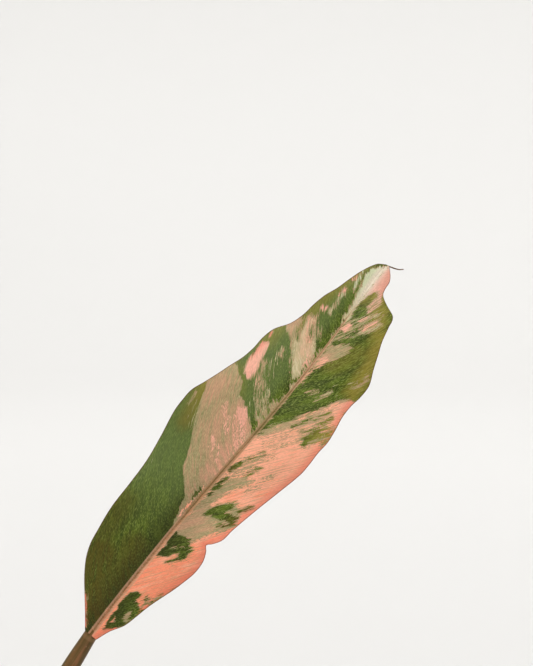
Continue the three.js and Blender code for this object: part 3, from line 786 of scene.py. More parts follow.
# How far along the blade a vein has run by the time it is b out from the midrib.
def veinLean(leaf, b):
    (a0, a1), (c0, c1) = leaf.get("veins", spear["veins"])
    out = np.abs(b)
    return np.where(b >= 0, a0 * out + a1 * out**2, c0 * out + c1 * out**2)


# Where along the midrib the vein through a point leaves it. Veins lean most at the tip.
def veinRoot(leaf, s, b):
    start, extra = blade["tipLean"]
    return s - veinLean(leaf, b) * (1 + extra * ease(start, 1, s / leaf["length"]))


# The patterns of the leaves that the photograph doesn't show: sizes in millimetres, and pairs
# from the least to the most.
pattern = {
    "tissues": ["green", "beige", "pink", "cream"],
    "moods": {"caramel": [5, 4, 3, 2], "pink": [4, 2, 6, 1], "green": [9, 2, 1.5, 1.5]},
    "firstStart": -60, "firstWidth": (59, 95), "width": (6, 36),
    "outs": (0, 6, 14, 24, 40), "wobble": 2.5, "fullness": [3, 3, 1.2, 0.4],
    "flecks": 34, "fleckStart": -8, "fleckEnd": 0.95, "fleckOut": (0.5, 22), "fleckReach": (2, 9),
    "fleckRadii": [0.5, 0.7, 1.0, 1.6, 2.4], "fleckFullness": (-0.3, 1),
    "tint": 0.35,  # of each soft zone, all over the leaf
}


# Sectors and flecks of a leaf that the photograph doesn't show, drawn by its own seed.
def drawMarks(leaf):
    draw = random.Random(leaf["seed"])
    shares, wobble = pattern["moods"][leaf["mood"]], pattern["wobble"]

    def anyTissue():
        return draw.choices(pattern["tissues"], shares)[0]

    def alongVein(start, side, outs):
        return [(start + float(veinLean(leaf, np.array(side * out))), side * out) for out in outs]

    marks = []
    for side in (1, -1):
        start = pattern["firstStart"]
        while start < leaf["length"]:
            width = draw.uniform(*pattern["firstWidth" if start < 0 else "width"])
            full = draw.choice(pattern["fullness"])
            near = alongVein(start, side, pattern["outs"])
            far = alongVein(start + width, side, pattern["outs"])
            far = [(s + draw.uniform(-wobble, wobble), b) for s, b in far]
            marks.append((anyTissue(), full, 0, near + far[::-1]))
            start += width
        for _ in range(pattern["flecks"]):
            out = draw.uniform(*pattern["fleckOut"])
            start = draw.uniform(pattern["fleckStart"], leaf["length"] * pattern["fleckEnd"])
            reach, radius = draw.uniform(*pattern["fleckReach"]), draw.choice(pattern["fleckRadii"])
            points = alongVein(start, side, (out, out + reach))
            marks.append((anyTissue(), draw.uniform(*pattern["fleckFullness"]), radius, points))
    return marks


# How far inside a mark each place lies, in millimetres; negative outside.
def markDepth(s, b, radius, points):
    nearest, inside = np.full(len(s), 1e3), np.zeros(len(s), bool)
    for (s0, b0), (s1, b1) in zip(points, points[1:] + points[:1] if radius == 0 else points[1:]):
        ds, db = s1 - s0, b1 - b0
        t = np.clip(((s - s0) * ds + (b - b0) * db) / (ds * ds + db * db), 0, 1)
        nearest = np.minimum(nearest, np.hypot(s - s0 - t * ds, b - b0 - t * db))
        if radius == 0 and b0 != b1:
            inside ^= ((b0 > b) != (b1 > b)) & (s < s0 + ds * (b - b0) / db)
    return radius - nearest if radius else np.where(inside, nearest, -nearest)


# The ripples that fray the tissues' edges: seed shift, size in millimetres, fineness and layers.
fraying = {
    "teeth": [(5, 1.1, 1.6, 6), (6, 0.8, 0.7, 4)],
    "jitter": (7, 0.5, 0.8, 5),
    "stretch": 0.16,  # of the teeth, across the veins
    "lowest": -3,  # depth outside a tissue, in millimetres
    "zoneEdge": (-4, 3),  # soft zones fade over this range of depth
}


# Depth of each tissue at each place, its edges frayed along the veins.
def paintTissues(leaf, s, b):
    def frayBy(where, shift, size, *grain):
        return size * ripples(leaf["seed"] + shift, where, *grain)

    where = np.c_[veinRoot(leaf, s, b), b * fraying["stretch"]]
    fray = sum(frayBy(where, *teeth) for teeth in fraying["teeth"])
    step = np.where(b >= 0, 1.0, -1.0)
    ahead = veinLean(leaf, b + step) - veinLean(leaf, b)
    length = np.hypot(ahead, 1)
    s, b = s + fray * ahead / length, b + fray * step / length
    s = s + frayBy(np.c_[s, b], *fraying["jitter"])
    lowest = fraying["lowest"]
    depth = {name: np.full(len(s), float(lowest)) for name in ("green", "pink", "cream")}
    for tissue, full, radius, points in leaf.get("marks") or drawMarks(leaf):
        inside = np.clip(markDepth(s, b, radius, points), lowest, full)
        for name, values in depth.items():
            depth[name] = np.maximum(values, inside) if name == tissue else np.minimum(values, -inside)
    for name in ("olive", "marble", "blush", "calm"):
        tint = np.full(len(s), 0.0 if name in leaf else pattern["tint"])
        for amount, radius, points in leaf.get(name, []):
            share = ease(*fraying["zoneEdge"], markDepth(s, b, radius, points))
            tint = np.maximum(tint, amount * share)
        depth[name] = tint
    return depth


# The relief of the upper face: a shallow channel with soft shoulders runs down the middle,
# and faint veins leave it.
def reliefAt(leaf, v, b, root, width, gap, band, ribShare):
    depth, least = blade["grooveDepth"] * ribShare, blade["leastWidth"]
    rise, spread = blade["shoulder"]
    groove = -depth * np.exp(-((gap / (blade["grooveWidth"] * band + least)) ** 2))
    shoulder = rise * depth * np.exp(-(((gap - band) / (spread * band + least)) ** 2))
    wander = blade["veinWander"] * ripples(leaf["seed"], np.c_[root, b * 0], 0.15)
    phase = math.pi * (root / blade["veinSpacing"] + wander)
    fade = ease(*blade["veinStart"], np.abs(b)) * (1 - ease(blade["veinEnd"], 1, np.abs(v)))
    fade = fade * np.clip(width / 10, 0, 1)
    veins = -blade["veinDepth"] * fade * np.exp(-((np.sin(phase) / blade["veinWidth"]) ** 2))
    pucker = blade["pucker"] * fade * ripples(leaf["seed"] + 1, np.c_[root, b * 0.5], 0.33)
    return groove + shoulder + veins + pucker


# Hangs the wall below the upper face, thickest along the rib and thinnest at the margin.
def hangWall(piece, leaf, s, v, b, ribShare):
    length, thick, thin = leaf["length"], blade["thickness"], blade["marginThickness"]
    full = blade["ribDepth"] + thick
    least = thin / full
    before, after = blade["ribEnd"]
    share = ribShare * (1 - ease(length - before, length + after, s))
    radius = blade["ribSoftness"] * blade["ribRadius"] * share + 0.1
    rib = blade["ribDepth"] * share * np.exp(-((np.abs(b) / radius) ** 2))
    atTip = ease(length - blade["thinTip"], length, s)
    body = thick - (thick - thin) * np.maximum(ease(blade["thinFrom"], 1, np.abs(v)), atTip)
    weight = np.clip(((rib + body) / full - least) / (1 - least), 0, 1)
    group = piece.vertex_groups.new(name="wall")
    for index, value in enumerate(weight):
        group.add([index], float(value), "REPLACE")
    applyModifier(
        piece, "SOLIDIFY", thickness=full * mm, offset=-1, vertex_group="wall",
        thickness_vertex_group=least, material_offset=1, use_even_offset=False,
    )


def growBlade(name, leaf):
    piece, x, v = makeGrid(leaf["rows"], 2 * leaf["columns"])
    length = leaf["length"]
    share, tail = (x + 1) / 2, blade["dripShare"]
    past = np.clip((share - 1 + tail) / tail, 0, 1) * leaf["drip"][-1][0]
    s = np.minimum(share / (1 - tail), 1) * length + past
    v = np.sign(v) * np.abs(v) ** blade["crowding"]
    middle, edge = middleAt(leaf, s), edgeAt(leaf, s, v >= 0)
    b, width = (edge - middle) * np.abs(v), np.abs(edge - middle)
    band = curveAt(blade["band"], s / length)
    gap = np.abs(b - curveAt(leaf.get("bandShift", spear["bandShift"]), s / length))
    root = veinRoot(leaf, s, b)
    ribShare = np.clip(1 - (1 - blade["ribTipShare"]) * s / length, 0, 1)
    relief = reliefAt(leaf, v, b, root, width, gap, band, ribShare)
    writePoints(piece, bladePoint(leaf, s, v, relief) * mm)

    writeUv(piece, "veins", np.c_[root, b] / 10)  # in centimetres
    for field, values in paintTissues(leaf, s, b).items():
        writeField(piece, field, values)
    writeField(piece, "edgeGap", (width - np.abs(b)) * np.clip(width, 0, 1))
    writeField(piece, "bandGap", gap / np.maximum(band, 0.2))
    writeField(piece, "along", s / length)

    for face in ("top", "under"):
        piece.data.materials.append(bladeFinish(face, leaf["seed"]))
    hangWall(piece, leaf, s, v, b, ribShare)
    smoothShade(piece, 50)
    handIn(piece, f"blade_{name}", "leaf", f"leaf_{name}")


tissueColours = {
    # painted shade: a near-black green for the shaded valley beside the midrib
    "greenRibShade": srgb(32, 38, 2),
    "greenDark": srgb(50, 66, 4),
    "greenMid": srgb(88, 106, 24),
    # painted sheen: a cooler, paler green that stands in for light glancing off the left half
    "greenSheen": srgb(100, 118, 64),
    "greenLight": srgb(134, 146, 74),
    "olive": srgb(82, 66, 8),
    "oliveBrown": srgb(66, 48, 10),
    "gold": srgb(146, 132, 46),
    "goldLight": srgb(172, 152, 78),
    "beige": srgb(168, 150, 108),
    "beigePink": srgb(192, 150, 116),
    "beigeGreen": srgb(142, 140, 94),
    "blush": srgb(224, 160, 134),
    "cream": srgb(198, 182, 138),
    "creamPale": srgb(222, 208, 170),
    "tipPale": srgb(202, 206, 168),
    # painted highlight: the whitish line along the midrib near the tip
    "tipRibHighlight": srgb(226, 212, 190),
    "pink": srgb(255, 152, 116),
    "peach": srgb(255, 178, 146),
    "rosePink": srgb(246, 180, 160),
    "rose": srgb(232, 112, 92),
    "tipPink": srgb(226, 172, 152),
    "midrib": srgb(172, 124, 86),
    "midribPale": srgb(226, 174, 142),
    "midribOlive": srgb(122, 106, 54),
    "midribShade": srgb(124, 94, 60),
    "midribDark": srgb(66, 52, 12),
    "margin": srgb(96, 54, 30),
    "under": srgb(172, 154, 112),
}
underVeil = 0.38  # how much of the underside's colour covers the pattern there

# Streaks that run along the veins: fineness across and along them, seed shift and detail. The
# last three break up the tissues' edges.
veinStreaks = {
    "coarse": (5.5, 1.1, 0, 2),
    "fine": (14, 3.4, 7, 1),
    "blotch": (2.2, 1.4, 13, 2),
    "grain": (19, 14, 19, 1),
    "lines": (13, 0.9, 25, 1),
    "flecks": (10, 2.4, 71, 1),
    "pink": (8.5, 2, 31, 2),
    "cream": (8.5, 2, 43, 2),
    "green": (8.5, 2, 57, 2),
}
# How far the tissue's own streaks, the fine ones and the grain move an edge, in millimetres.
edgeTeeth = (4.2, 2.6, 3.2)
edgeSoftness = {"green": 0.16, "pink": 0.22, "cream": 0.2}
calming = 0.75  # share of that which a calm zone takes away


# The finish of one face of a blade, with a short function for each tissue's colours.
def bladeFinish(face, seed):
    c = tissueColours
    f = Finish(
        f"blade_{face}_{seed}", Specular_IOR_Level=0.14, Subsurface_Weight=0.02,
        Subsurface_Scale=0.0008,
    )
    root, out = f.uv("veins")
    along = f.field("along")

    def streaks(name):
        across, lengthwise, shift, detail = veinStreaks[name]
        where = f.vector(root * across, out * lengthwise, seed + shift)
        return f.noise(where, detail=detail, roughness=0.6)

    coarse, fine, blotch = streaks("coarse"), streaks("fine"), streaks("blotch")
    grain, lines, flecks = streaks("grain"), streaks("lines"), streaks("flecks")
    streak, thin = f.step(coarse, 0.38, 0.62), f.step(fine, 0.42, 0.6)
    speck = f.step(grain, 0.42, 0.62)
    tipWards = f.step(along, 0.84, 0.93)
    leftSide = f.step(out, -0.05, 0.15)
    # the strip beside the midrib, where painted shade darkens the green and the beige towards the base
    nearRib = 1 - f.step(abs(out), 0.1, 1.3)
    blush = f.field("blush") * (0.35 + f.step(coarse + fine, 0.8, 1.15) * 0.65)

    # A tissue's depth with its edge broken up, less so where the edge is calm.
    def brokenUp(tissue):
        own, fineShare, grainShare = edgeTeeth
        ragged = (streaks(tissue) - 0.5) * own + (fine - 0.5) * fineShare + (grain - 0.5) * grainShare
        return f.field(tissue) + ragged * (1 - f.field("calm") * calming)

    def masked(depth, tissue):
        return f.step(depth, -edgeSoftness[tissue], edgeSoftness[tissue])

    def beigeTissue():
        colour = f.mix(streak, c["beige"], c["beigePink"])
        colour = f.mix(thin * f.step(blotch, 0.32, 0.56), colour, c["beigeGreen"])
        colour = f.mix(speck * 0.3, colour, c["cream"])
        # painted shade: beside the midrib, towards the base, the beige is darkened as if shaded in the
        # midrib's valley
        colour = f.shade(colour, 1 - nearRib * (1 - f.step(along, 0.35, 0.55)) * 0.22)
        return f.mix(blush * 0.8, colour, c["blush"])

    def creamTissue():
        clouds = f.step(blotch, 0.5, 0.66) * f.step(grain, 0.4, 0.6)
        # painted highlight: near the tip the cream turns whitish along the midrib
        tip = f.mix(f.step(abs(out + 0.02), 0.02, 0.3), c["tipRibHighlight"], c["tipPale"])
        colour = f.mix(thin * 0.7, c["cream"], c["creamPale"])
        colour = f.mix(clouds * 0.7, colour, c["beigeGreen"])
        colour = f.mix(blush * 0.7, colour, c["blush"])
        return f.mix(tipWards, colour, tip)

    def pinkTissue():
        rosy = f.step(along * 2 + leftSide * 0.8 + (blotch - 0.5), 1.2, 1.9)
        # painted highlight: near the tip the pink turns whitish along the midrib
        tip = f.mix(f.step(abs(out), 0.0, 0.35), c["tipRibHighlight"], c["tipPink"])
        colour = f.mix(f.step(along + (coarse + blotch - 1) * 0.8, 0.16, 0.5), c["pink"], c["peach"])
        colour = f.mix(f.step(lines, 0.52, 0.66) * 0.55, colour, c["beigePink"])
        colour = f.mix(f.step(fine + grain, 1.1, 1.25) * 0.5, colour, c["beige"])
        colour = f.mix(rosy * 0.85, colour, c["rosePink"])
        return f.mix(tipWards, colour, tip)

    def greenTissue():
        pebbles = (fine - 0.5) * 0.7 + (grain - 0.5) * 0.9
        # painted sheen: the left half's outer middle is painted cooler and paler, as if the light
        # glanced off it
        sheen = leftSide * f.step(along, 0.2, 0.42) * f.step(out, 0.1, 0.8)
        brown = f.mix(thin * 0.7, c["olive"], c["oliveBrown"])
        golden = f.mix(thin * 0.6, c["gold"], c["goldLight"])
        tint = f.field("olive") * f.step(coarse + blotch + along * 0.5, 0.74, 1.08)
        marble = f.step(flecks + f.field("marble") * 0.3, 0.8, 0.84)
        pale = f.mix(f.step(coarse, 0.44, 0.56), c["cream"], c["beigeGreen"])
        colour = f.mix(f.step(blotch + pebbles, 0.36, 0.64), c["greenDark"], c["greenMid"])
        colour = f.mix(f.step(grain + (fine - 0.5) * 0.5, 0.54, 0.66) * 0.55, colour, c["greenLight"])
        colour = f.mix(f.step(lines, 0.54, 0.68) * 0.1, colour, c["greenLight"])
        colour = f.mix(sheen * 0.65, colour, c["greenSheen"])
        # painted shade: beside the midrib, towards the base, the green is darkened as if shaded by the
        # fold
        colour = f.mix(nearRib * (1 - f.step(along, 0.3, 0.6)) * 0.7, colour, c["greenRibShade"])
        colour = f.mix(tint * 0.75, colour, f.mix(f.step(along, 0.35, 0.6), brown, golden))
        return f.mix(marble * (0.6 + speck * 0.4), colour, pale)

    # The midrib's band, with pale sides and a dark centre line, and how much of it shows.
    def midribBand():
        bandGap = f.field("bandGap")
        threads = f.noise(f.vector(root * 0.5, out * 34.0, seed + 90), detail=1.0)
        threads = f.step(threads, 0.4, 0.62)
        olivePart = f.step(along, 0.24, 0.36) * (1 - f.step(along, 0.6, 0.72))
        paleSides = f.step(bandGap, 0.42, 0.58) * (0.7 + speck * 0.2) * (1 - olivePart * 0.6)
        centre = (1 - f.step(bandGap, 0.06, 0.26)) * (0.3 + olivePart * 0.5)
        fading = (1 - f.step(along, 0.82, 0.9)) * (1 - f.step(bandGap, 0.8, 1.1))
        colour = f.mix(f.step(streak + thin, 0.6, 1.5) * 0.6, c["midrib"], c["midribPale"])
        colour = f.mix(olivePart * 0.8, colour, c["midribOlive"])
        colour = f.mix(paleSides, colour, c["midribPale"])
        colour = f.mix(threads * 0.35, colour, c["midribShade"])
        return f.mix(centre, colour, c["midribDark"]), fading * (0.65 + threads * 0.25)

    greenDepth = brokenUp("green")
    greenMask = masked(greenDepth, "green")
    greenHaze = f.step(greenDepth, -1.3, -0.1) * f.step(fine, 0.4, 0.6)
    pinkMask = masked(brokenUp("pink"), "pink")
    creamMask = masked(brokenUp("cream"), "cream")
    colour = f.mix(creamMask, beigeTissue(), creamTissue())
    colour = f.mix(pinkMask * (0.96 - blush * 0.45), colour, pinkTissue())
    colour = f.mix(greenHaze * 0.5, colour, c["beigeGreen"])
    colour = f.mix(greenMask * 0.97, colour, greenTissue())
    colour = f.shade(colour, 0.67 + grain * 0.68)
    band, bandShare = midribBand()
    colour = f.mix(bandShare, colour, band)
    edgeGap = f.field("edgeGap")
    rosyEdge = (1 - f.step(edgeGap, 0.4, 4.5)) * pinkMask * (0.5 - tipWards * 0.25)
    colour = f.mix(rosyEdge, colour, c["rose"])
    colour = f.mix((1 - f.step(edgeGap, 0.12, 0.5)) * 0.8, colour, c["margin"])
    if face == "under":
        colour = f.mix(underVeil, colour, c["under"])
    relief = grain * 0.6 + fine * 0.5 + coarse * 0.4
    rough = 0.5 + (grain - 0.5) * 0.2 + (blotch - 0.5) * 0.14
    return f.feed(Base_Color=colour, Roughness=rough, Normal=f.bump(relief, 0.00014, 0.55))


for name, leaf in leaves.items():
    growBlade(name, leaf)
    print("blade", name, "is grown")


# The stalks

petiole = {
    "radius": [(0, 5.4), (0.12, 4.8), (0.35, 3.9), (0.85, 3.7), (1, 2.9)],
    "foot": (6.2, 4),  # out from the stem's axis and down from the node
    "end": (2.65, 0.3),  # below the blade's upper face and back from its base
    "overlap": 2.5,  # run on into the blade
    "kink": 6,
    "reach": 0.4,  # of the bend at either end, as a share of the distance
    "steps": 120,
    "sides": 40,
    # the next three are shares of the radius: the upper side's channel, with where it begins and
    # how wide it is, the ring below the blade, with its place and width, and flutes with a twist
    "groove": (0.1, (0.05, 0.3), 0.16),
    "ring": (0.02, 0.968, 0.008),
    "flutes": (0.012, 5, 2),
    "colours": (srgb(92, 70, 34), srgb(138, 94, 58), srgb(76, 72, 26), srgb(160, 122, 84)),
}


# Sideways and upward directions at each point of a path.
def frameAlong(path, reference):
    ahead = np.gradient(path, axis=0)
    ahead /= np.linalg.norm(ahead, axis=1)[:, None]
    up = reference - ahead * (ahead @ reference)[:, None]
    up /= np.linalg.norm(up, axis=1)[:, None]
    return np.cross(up, ahead), up


# A closed tube along a path in millimetres. radiusAt takes the share of length and the angle.
def sweep(path, reference, radiusAt, steps, sides):
    piece, x, y = makeGrid(steps, sides)
    t, angle = (x + 1) / 2, (y + 1) * math.pi
    lengths = np.r_[0, np.cumsum(np.linalg.norm(np.diff(path, axis=0), axis=1))]
    share = lengths / lengths[-1]
    side, up = frameAlong(path, reference)

    def spread(values):
        return np.stack([np.interp(t, share, values[:, k]) for k in range(3)], 1)

    radius = radiusAt(t, angle)
    points = spread(path) + spread(side) * (radius * np.sin(angle))[:, None]
    points += spread(up) * (radius * np.cos(angle))[:, None]
    writePoints(piece, points * mm)
    writeUv(piece, "skin", np.c_[t * lengths[-1], angle * radius.mean()] / 10)  # in centimetres
    writeField(piece, "along", t)
    closeSeams(piece)
    return piece


def bezier(a, b, c, d, count=160):
    t = np.linspace(0, 1, count)[:, None]
    return (1 - t) ** 3 * a + 3 * (1 - t) ** 2 * t * b + 3 * (1 - t) * t**2 * c + t**3 * d


def petiolePath(leaf):
    along, left, up, base = bladeFrame(leaf)
    (offset, drop), (depth, back) = petiole["foot"], petiole["end"]
    start = direction(leaf["heading"], 0) * offset
    start[2] = leaf["node"] - drop
    end = base + left * middleAt(leaf, np.array([0.0]))[0] - up * depth - along * back
    arrival = direction(leaf["axis"][0], leaf["axis"][1] + petiole["kink"])
    reach = np.linalg.norm(start - end) * petiole["reach"]
    rise = direction(leaf["heading"], leaf["rootRise"])
    return bezier(start, start + rise * reach, end - arrival * reach, end), up, along


def growPetiole(name, leaf):
    path, up, along = petiolePath(leaf)
    path = np.vstack([path, path[-1] + along * petiole["overlap"]])
    depth, begins, width = petiole["groove"]
    height, place, spread = petiole["ring"]
    flute, count, twist = petiole["flutes"]

    def radiusAt(t, angle):
        channel = depth * ease(*begins, t) * np.exp(-((1 - np.cos(angle)) / width))
        ring = height * np.exp(-(((t - place) / spread) ** 2))
        share = 1 - channel + ring + flute * np.sin(count * angle + twist * t)
        return curveAt(petiole["radius"], t) * share

    piece = sweep(path, up, radiusAt, petiole["steps"], petiole["sides"])
    piece.data.materials.append(petioleSkin)
    smoothShade(piece, 60)
    handIn(piece, f"stalk_{name}", "petiole", f"petiole_{name}")


def makePetioleSkin():
    brown, orange, olive, pale = petiole["colours"]
    f = Finish(
        "petioleSkin", Specular_IOR_Level=0.25, Subsurface_Weight=0.05, Subsurface_Scale=0.0015,
    )
    along, around = f.uv("skin")
    streak = f.noise(f.vector(along * 0.35, around * 3.2), detail=4.0)
    thin = f.noise(f.vector(along * 1.6, around * 16.0, 5.0), detail=3.0)
    speck = f.noise(f.vector(along * 5.0, around * 11.0, 9.0), detail=1.0)
    t = f.field("along")
    colour = f.mix(f.step(streak, 0.36, 0.64), brown, orange)
    colour = f.mix(f.step(thin, 0.48, 0.7) * 0.6, colour, olive)
    colour = f.mix(f.step(speck, 0.68, 0.74) * 0.6, colour, pale)
    colour = f.mix((1 - f.step(t, 0.0, 0.3)) * 0.55, colour, olive)
    side = f.step(f.noise(f.vector(around * 0.9, t * 0.6, 3.0), detail=0.0), 0.4, 0.6)
    colour = f.mix(side * 0.5, colour, olive)
    ring = f.step(t, 0.958, 0.965) * (1 - f.step(t, 0.971, 0.98))
    colour = f.mix(ring * 0.3, colour, pale)
    rough = 0.42 + (thin - 0.5) * 0.2
    return f.feed(Base_Color=colour, Roughness=rough, Normal=f.bump(thin + streak, 0.0002, 0.5))


petioleSkin = makePetioleSkin()
for name, leaf in leaves.items():
    growPetiole(name, leaf)
print("stalks are grown")


# The stem with its leaf rings, the aerial roots and the new leaf, still rolled up

stem = {
    "bottom": 56, "top": 121, "radius": 8, "sides": 64,
    "nodes": [80, 98, 105, 111, 116], "swell": 1.1,
    # a leaf ring: height above its node and share of the swell
    "ring": [(-1.6, 0), (-0.9, 0.5), (-0.35, 0.95), (0.1, 1), (0.5, 0.8), (0.9, 0.25), (1.2, 0)],
    # the ends: height from the end and share of the radius
    "foot": [(0, 0), (0, 0.7), (4, 1)],
    "crown": [(-2.4, 0.86), (-0.9, 0.72), (0, 0.5), (0, 0)],
    "lumps": (0.025, 0.35),  # height as a share of the radius, and fineness
    "colours": (srgb(112, 102, 52), srgb(140, 118, 72), srgb(96, 70, 44)),
}
root = {
    "radius": 1.9, "taper": 0.45, "start": 101, "headings": [95, 165, 235, 345],
    # outwards from the stem's skin and down from the start
    "route": [(-4, 0), (2, -2), (6, -9), (9, -23)],
    "bends": (0.5, 4),  # sideways, in millimetres, and radians for each step of the route
    # height as a share of the radius, waves round the root and along it, and shift from root to root
    "knobs": [(0.06, 0, 14, 1), (0.04, 3, 9, 0)],
    "points": 60, "steps": 50, "sides": 18,
    "colours": (srgb(128, 92, 60), srgb(86, 60, 40), srgb(170, 140, 104)),
}
newLeaf = {
    "from": (-1.2, 0.4, 112), "length": 64, "straight": 0.45, "lean": (-0.16, 0.05),
    "radius": 4.4, "tipRadius": 0.7, "taper": 0.8, "points": 120, "steps": 110, "sides": 72,
    "lap": 0.17, "lapEdge": 0.94, "turns": 1.3, "slack": 0.95,
    "colours": (srgb(226, 128, 96), srgb(196, 96, 70), srgb(166, 128, 78)),
}


def barkSkin(name, colours, roughness):
    first, second, ring = colours
    f = Finish(name, Specular_IOR_Level=0.35)
    x, y, z = f.parts(f.place())
    where = f.vector(x * 260.0, y * 260.0, z * 60.0)
    streak = f.noise(where, detail=4.0)
    bands = f.noise(f.vector(x * 20.0, y * 20.0, z * 700.0), detail=2.0)
    colour = f.mix(f.step(streak, 0.35, 0.65), first, second)
    colour = f.mix(f.step(bands, 0.5, 0.68) * 0.6, colour, ring)
    rough = roughness + (streak - 0.5) * 0.2
    return f.feed(Base_Color=colour, Roughness=rough, Normal=f.bump(streak + bands, 0.0004, 0.6))


def growStem():
    r, bottom, top = stem["radius"], stem["bottom"], stem["top"]
    profile = [(r * share, bottom + step) for step, share in stem["foot"]]
    for height in stem["nodes"]:
        profile += [(r + stem["swell"] * share, height + step) for step, share in stem["ring"]]
    profile += [(r * share, top + step) for step, share in stem["crown"]]
    piece = spinProfile([(x * mm, z * mm) for x, z in profile], stem["sides"])
    points = readPoints(piece) / mm
    height, fineness = stem["lumps"]
    push = 1 + height * ripples(5, points, fineness) * (np.hypot(points[:, 0], points[:, 1]) > 1)
    points[:, :2] *= push[:, None]
    writePoints(piece, points * mm)
    piece.data.materials.append(barkSkin("stemSkin", stem["colours"], 0.55))
    smoothShade(piece, 50)
    handIn(piece, "stemCore", "stem", "stem")


def growRoot(number, heading, bark):
    out = direction(heading, 0)
    side = np.cross(out, (0, 0, 1))
    steps = np.linspace(0, len(root["route"]) - 1, root["points"])
    reach = curveAt([(k, stem["radius"] + away) for k, (away, _) in enumerate(root["route"])], steps)
    height = curveAt([(k, root["start"] + down) for k, (_, down) in enumerate(root["route"])], steps)
    swing, pace = root["bends"]
    bends = swing * np.sin(steps * pace + number) * ease(0.5, 1.5, steps)
    path = np.outer(reach, out) + np.outer(bends, side)
    path[:, 2] += height

    def knobbly(t, angle):
        knobs = 1
        for share, around, along, shift in root["knobs"]:
            knobs = knobs + share * np.sin(around * angle + along * t + shift * number)
        return root["radius"] * (1 - root["taper"] * t) * knobs

    piece = sweep(path, side, knobbly, root["steps"], root["sides"])
    piece.data.materials.append(bark)
    smoothShade(piece, 60)
    handIn(piece, f"aerialRoot_{number}", "stem")


def growNewLeaf():
    length, (dx, dy) = newLeaf["length"], newLeaf["lean"]
    start = np.array(newLeaf["from"])
    middle = start + (0, 0, length * newLeaf["straight"])
    end = np.array([dx * length, dy * length, start[2] + length])
    t = np.linspace(0, 1, newLeaf["points"])[:, None]
    path = (1 - t) ** 2 * start + 2 * (1 - t) * t * middle + t**2 * end

    def rolled(t, angle):
        thin = newLeaf["tipRadius"]
        radius = thin + (newLeaf["radius"] - thin) * (1 - t**2) ** newLeaf["taper"]
        turn = np.mod(angle / math.tau + newLeaf["turns"] * t, 1)
        lap = newLeaf["lap"] * (turn - ease(newLeaf["lapEdge"], 1, turn))
        return radius * (newLeaf["slack"] - lap)

    front = np.array([0.0, -1, 0])
    piece = sweep(path, front, rolled, newLeaf["steps"], newLeaf["sides"])
    piece.data.materials.append(newLeafSkin())
    smoothShade(piece, 60)
    handIn(piece, "newLeafRoll", "new_leaf", "new_leaf")


def newLeafSkin():
    warm, deep, olive = newLeaf["colours"]
    f = Finish("newLeafSkin", Specular_IOR_Level=0.5, Subsurface_Weight=0.1, Subsurface_Scale=0.002)
    along, around = f.uv("skin")
    streak = f.noise(f.vector(along * 0.5, around * 4.0), detail=4.0)
    thin = f.noise(f.vector(along * 1.5, around * 22.0, 4.0), detail=3.0)
    colour = f.mix(f.step(streak, 0.38, 0.62), warm, deep)
    colour = f.mix((1 - f.step(f.field("along"), 0.1, 0.5)) * 0.55, colour, olive)
    colour = f.mix(f.step(thin, 0.55, 0.72) * 0.4, colour, olive)
    rough = 0.36 + thin * 0.14
    return f.feed(Base_Color=colour, Roughness=rough, Normal=f.bump(thin, 0.0002, 0.6))


growStem()
rootBark = barkSkin("rootSkin", root["colours"], 0.75)
for number, heading in enumerate(root["headings"]):
    growRoot(number, heading, rootBark)
growNewLeaf()
print("stem, roots and new leaf are grown")


# The pot

pot = {
    "height": 108, "baseRadius": 42, "rimRadius": 61, "rimHeight": 24, "rimStep": 3,
    "wall": 5, "floor": 7, "floorRadius": 38, "flare": 0.3, "edge": 1.5, "rounding": 1.2, "sides": 128,
    "holes": 4, "holeRadius": 4, "holeCircle": 24, "holeSides": 40,
    "clay": srgb(176, 98, 66), "clayDark": srgb(144, 74, 48), "clayPale": srgb(200, 128, 94),
    "bloom": srgb(222, 200, 182),
}


def innerRadius(height):
    share = (height - pot["floor"]) / (pot["height"] - pot["floor"])
    top = pot["rimRadius"] - pot["wall"] - pot["edge"]
    return pot["floorRadius"] + (top - pot["floorRadius"]) * share


# Rounds every corner of a profile but its two ends, using up to a share of the edges beside it.
def roundCorners(profile, reach, share=0.45, count=4):
    rounded = [profile[0]]
    for before, corner, after in zip(profile, profile[1:], profile[2:]):
        b, c, a = (np.array(point, float) for point in (before, corner, after))
        cut = min(reach, np.linalg.norm(b - c) * share, np.linalg.norm(a - c) * share)
        start = c + (b - c) / np.linalg.norm(b - c) * cut
        end = c + (a - c) / np.linalg.norm(a - c) * cut
        for t in np.linspace(0, 1, count + 1):
            rounded.append(tuple((1 - t) ** 2 * start + 2 * (1 - t) * t * c + t**2 * end))
    return rounded + [profile[-1]]


def throwPot():
    h, edge, floor, rim = pot["height"], pot["edge"], pot["floor"], pot["rimRadius"]
    foot, inside = h - pot["rimHeight"], innerRadius(pot["height"])
    corners = [
        (0, 0), (pot["baseRadius"] - edge / 2, 0), (pot["baseRadius"] + pot["flare"], edge / 2),
        (rim - pot["rimStep"], foot), (rim - edge / 2, foot), (rim, foot + edge),
        (rim, h - edge / 2), (rim - edge / 2, h),
        (inside + edge / 2, h), (inside, h - edge / 2), (innerRadius(floor + edge), floor + edge),
        (innerRadius(floor) - edge, floor), (0, floor),
    ]
    outline = roundCorners(corners, pot["rounding"])
    piece = spinProfile([(x * mm, z * mm) for x, z in outline], pot["sides"])
    away = pot["holeCircle"] * mm
    for i in range(pot["holes"]):
        a = (i + 0.5) / pot["holes"] * math.tau
        deselectAll()
        bpy.ops.mesh.primitive_cylinder_add(
            vertices=pot["holeSides"], radius=pot["holeRadius"] * mm, depth=floor * mm * 3,
            location=(math.cos(a) * away, math.sin(a) * away, floor * mm / 2),
        )
        drill = bpy.context.object
        applyModifier(piece, "BOOLEAN", object=drill, operation="DIFFERENCE", solver="EXACT")
        bpy.data.objects.remove(drill)
    piece.data.materials.append(clayFinish())
    smoothShade(piece, 35)
    handIn(piece, "clayPot", "terracotta", "pot")


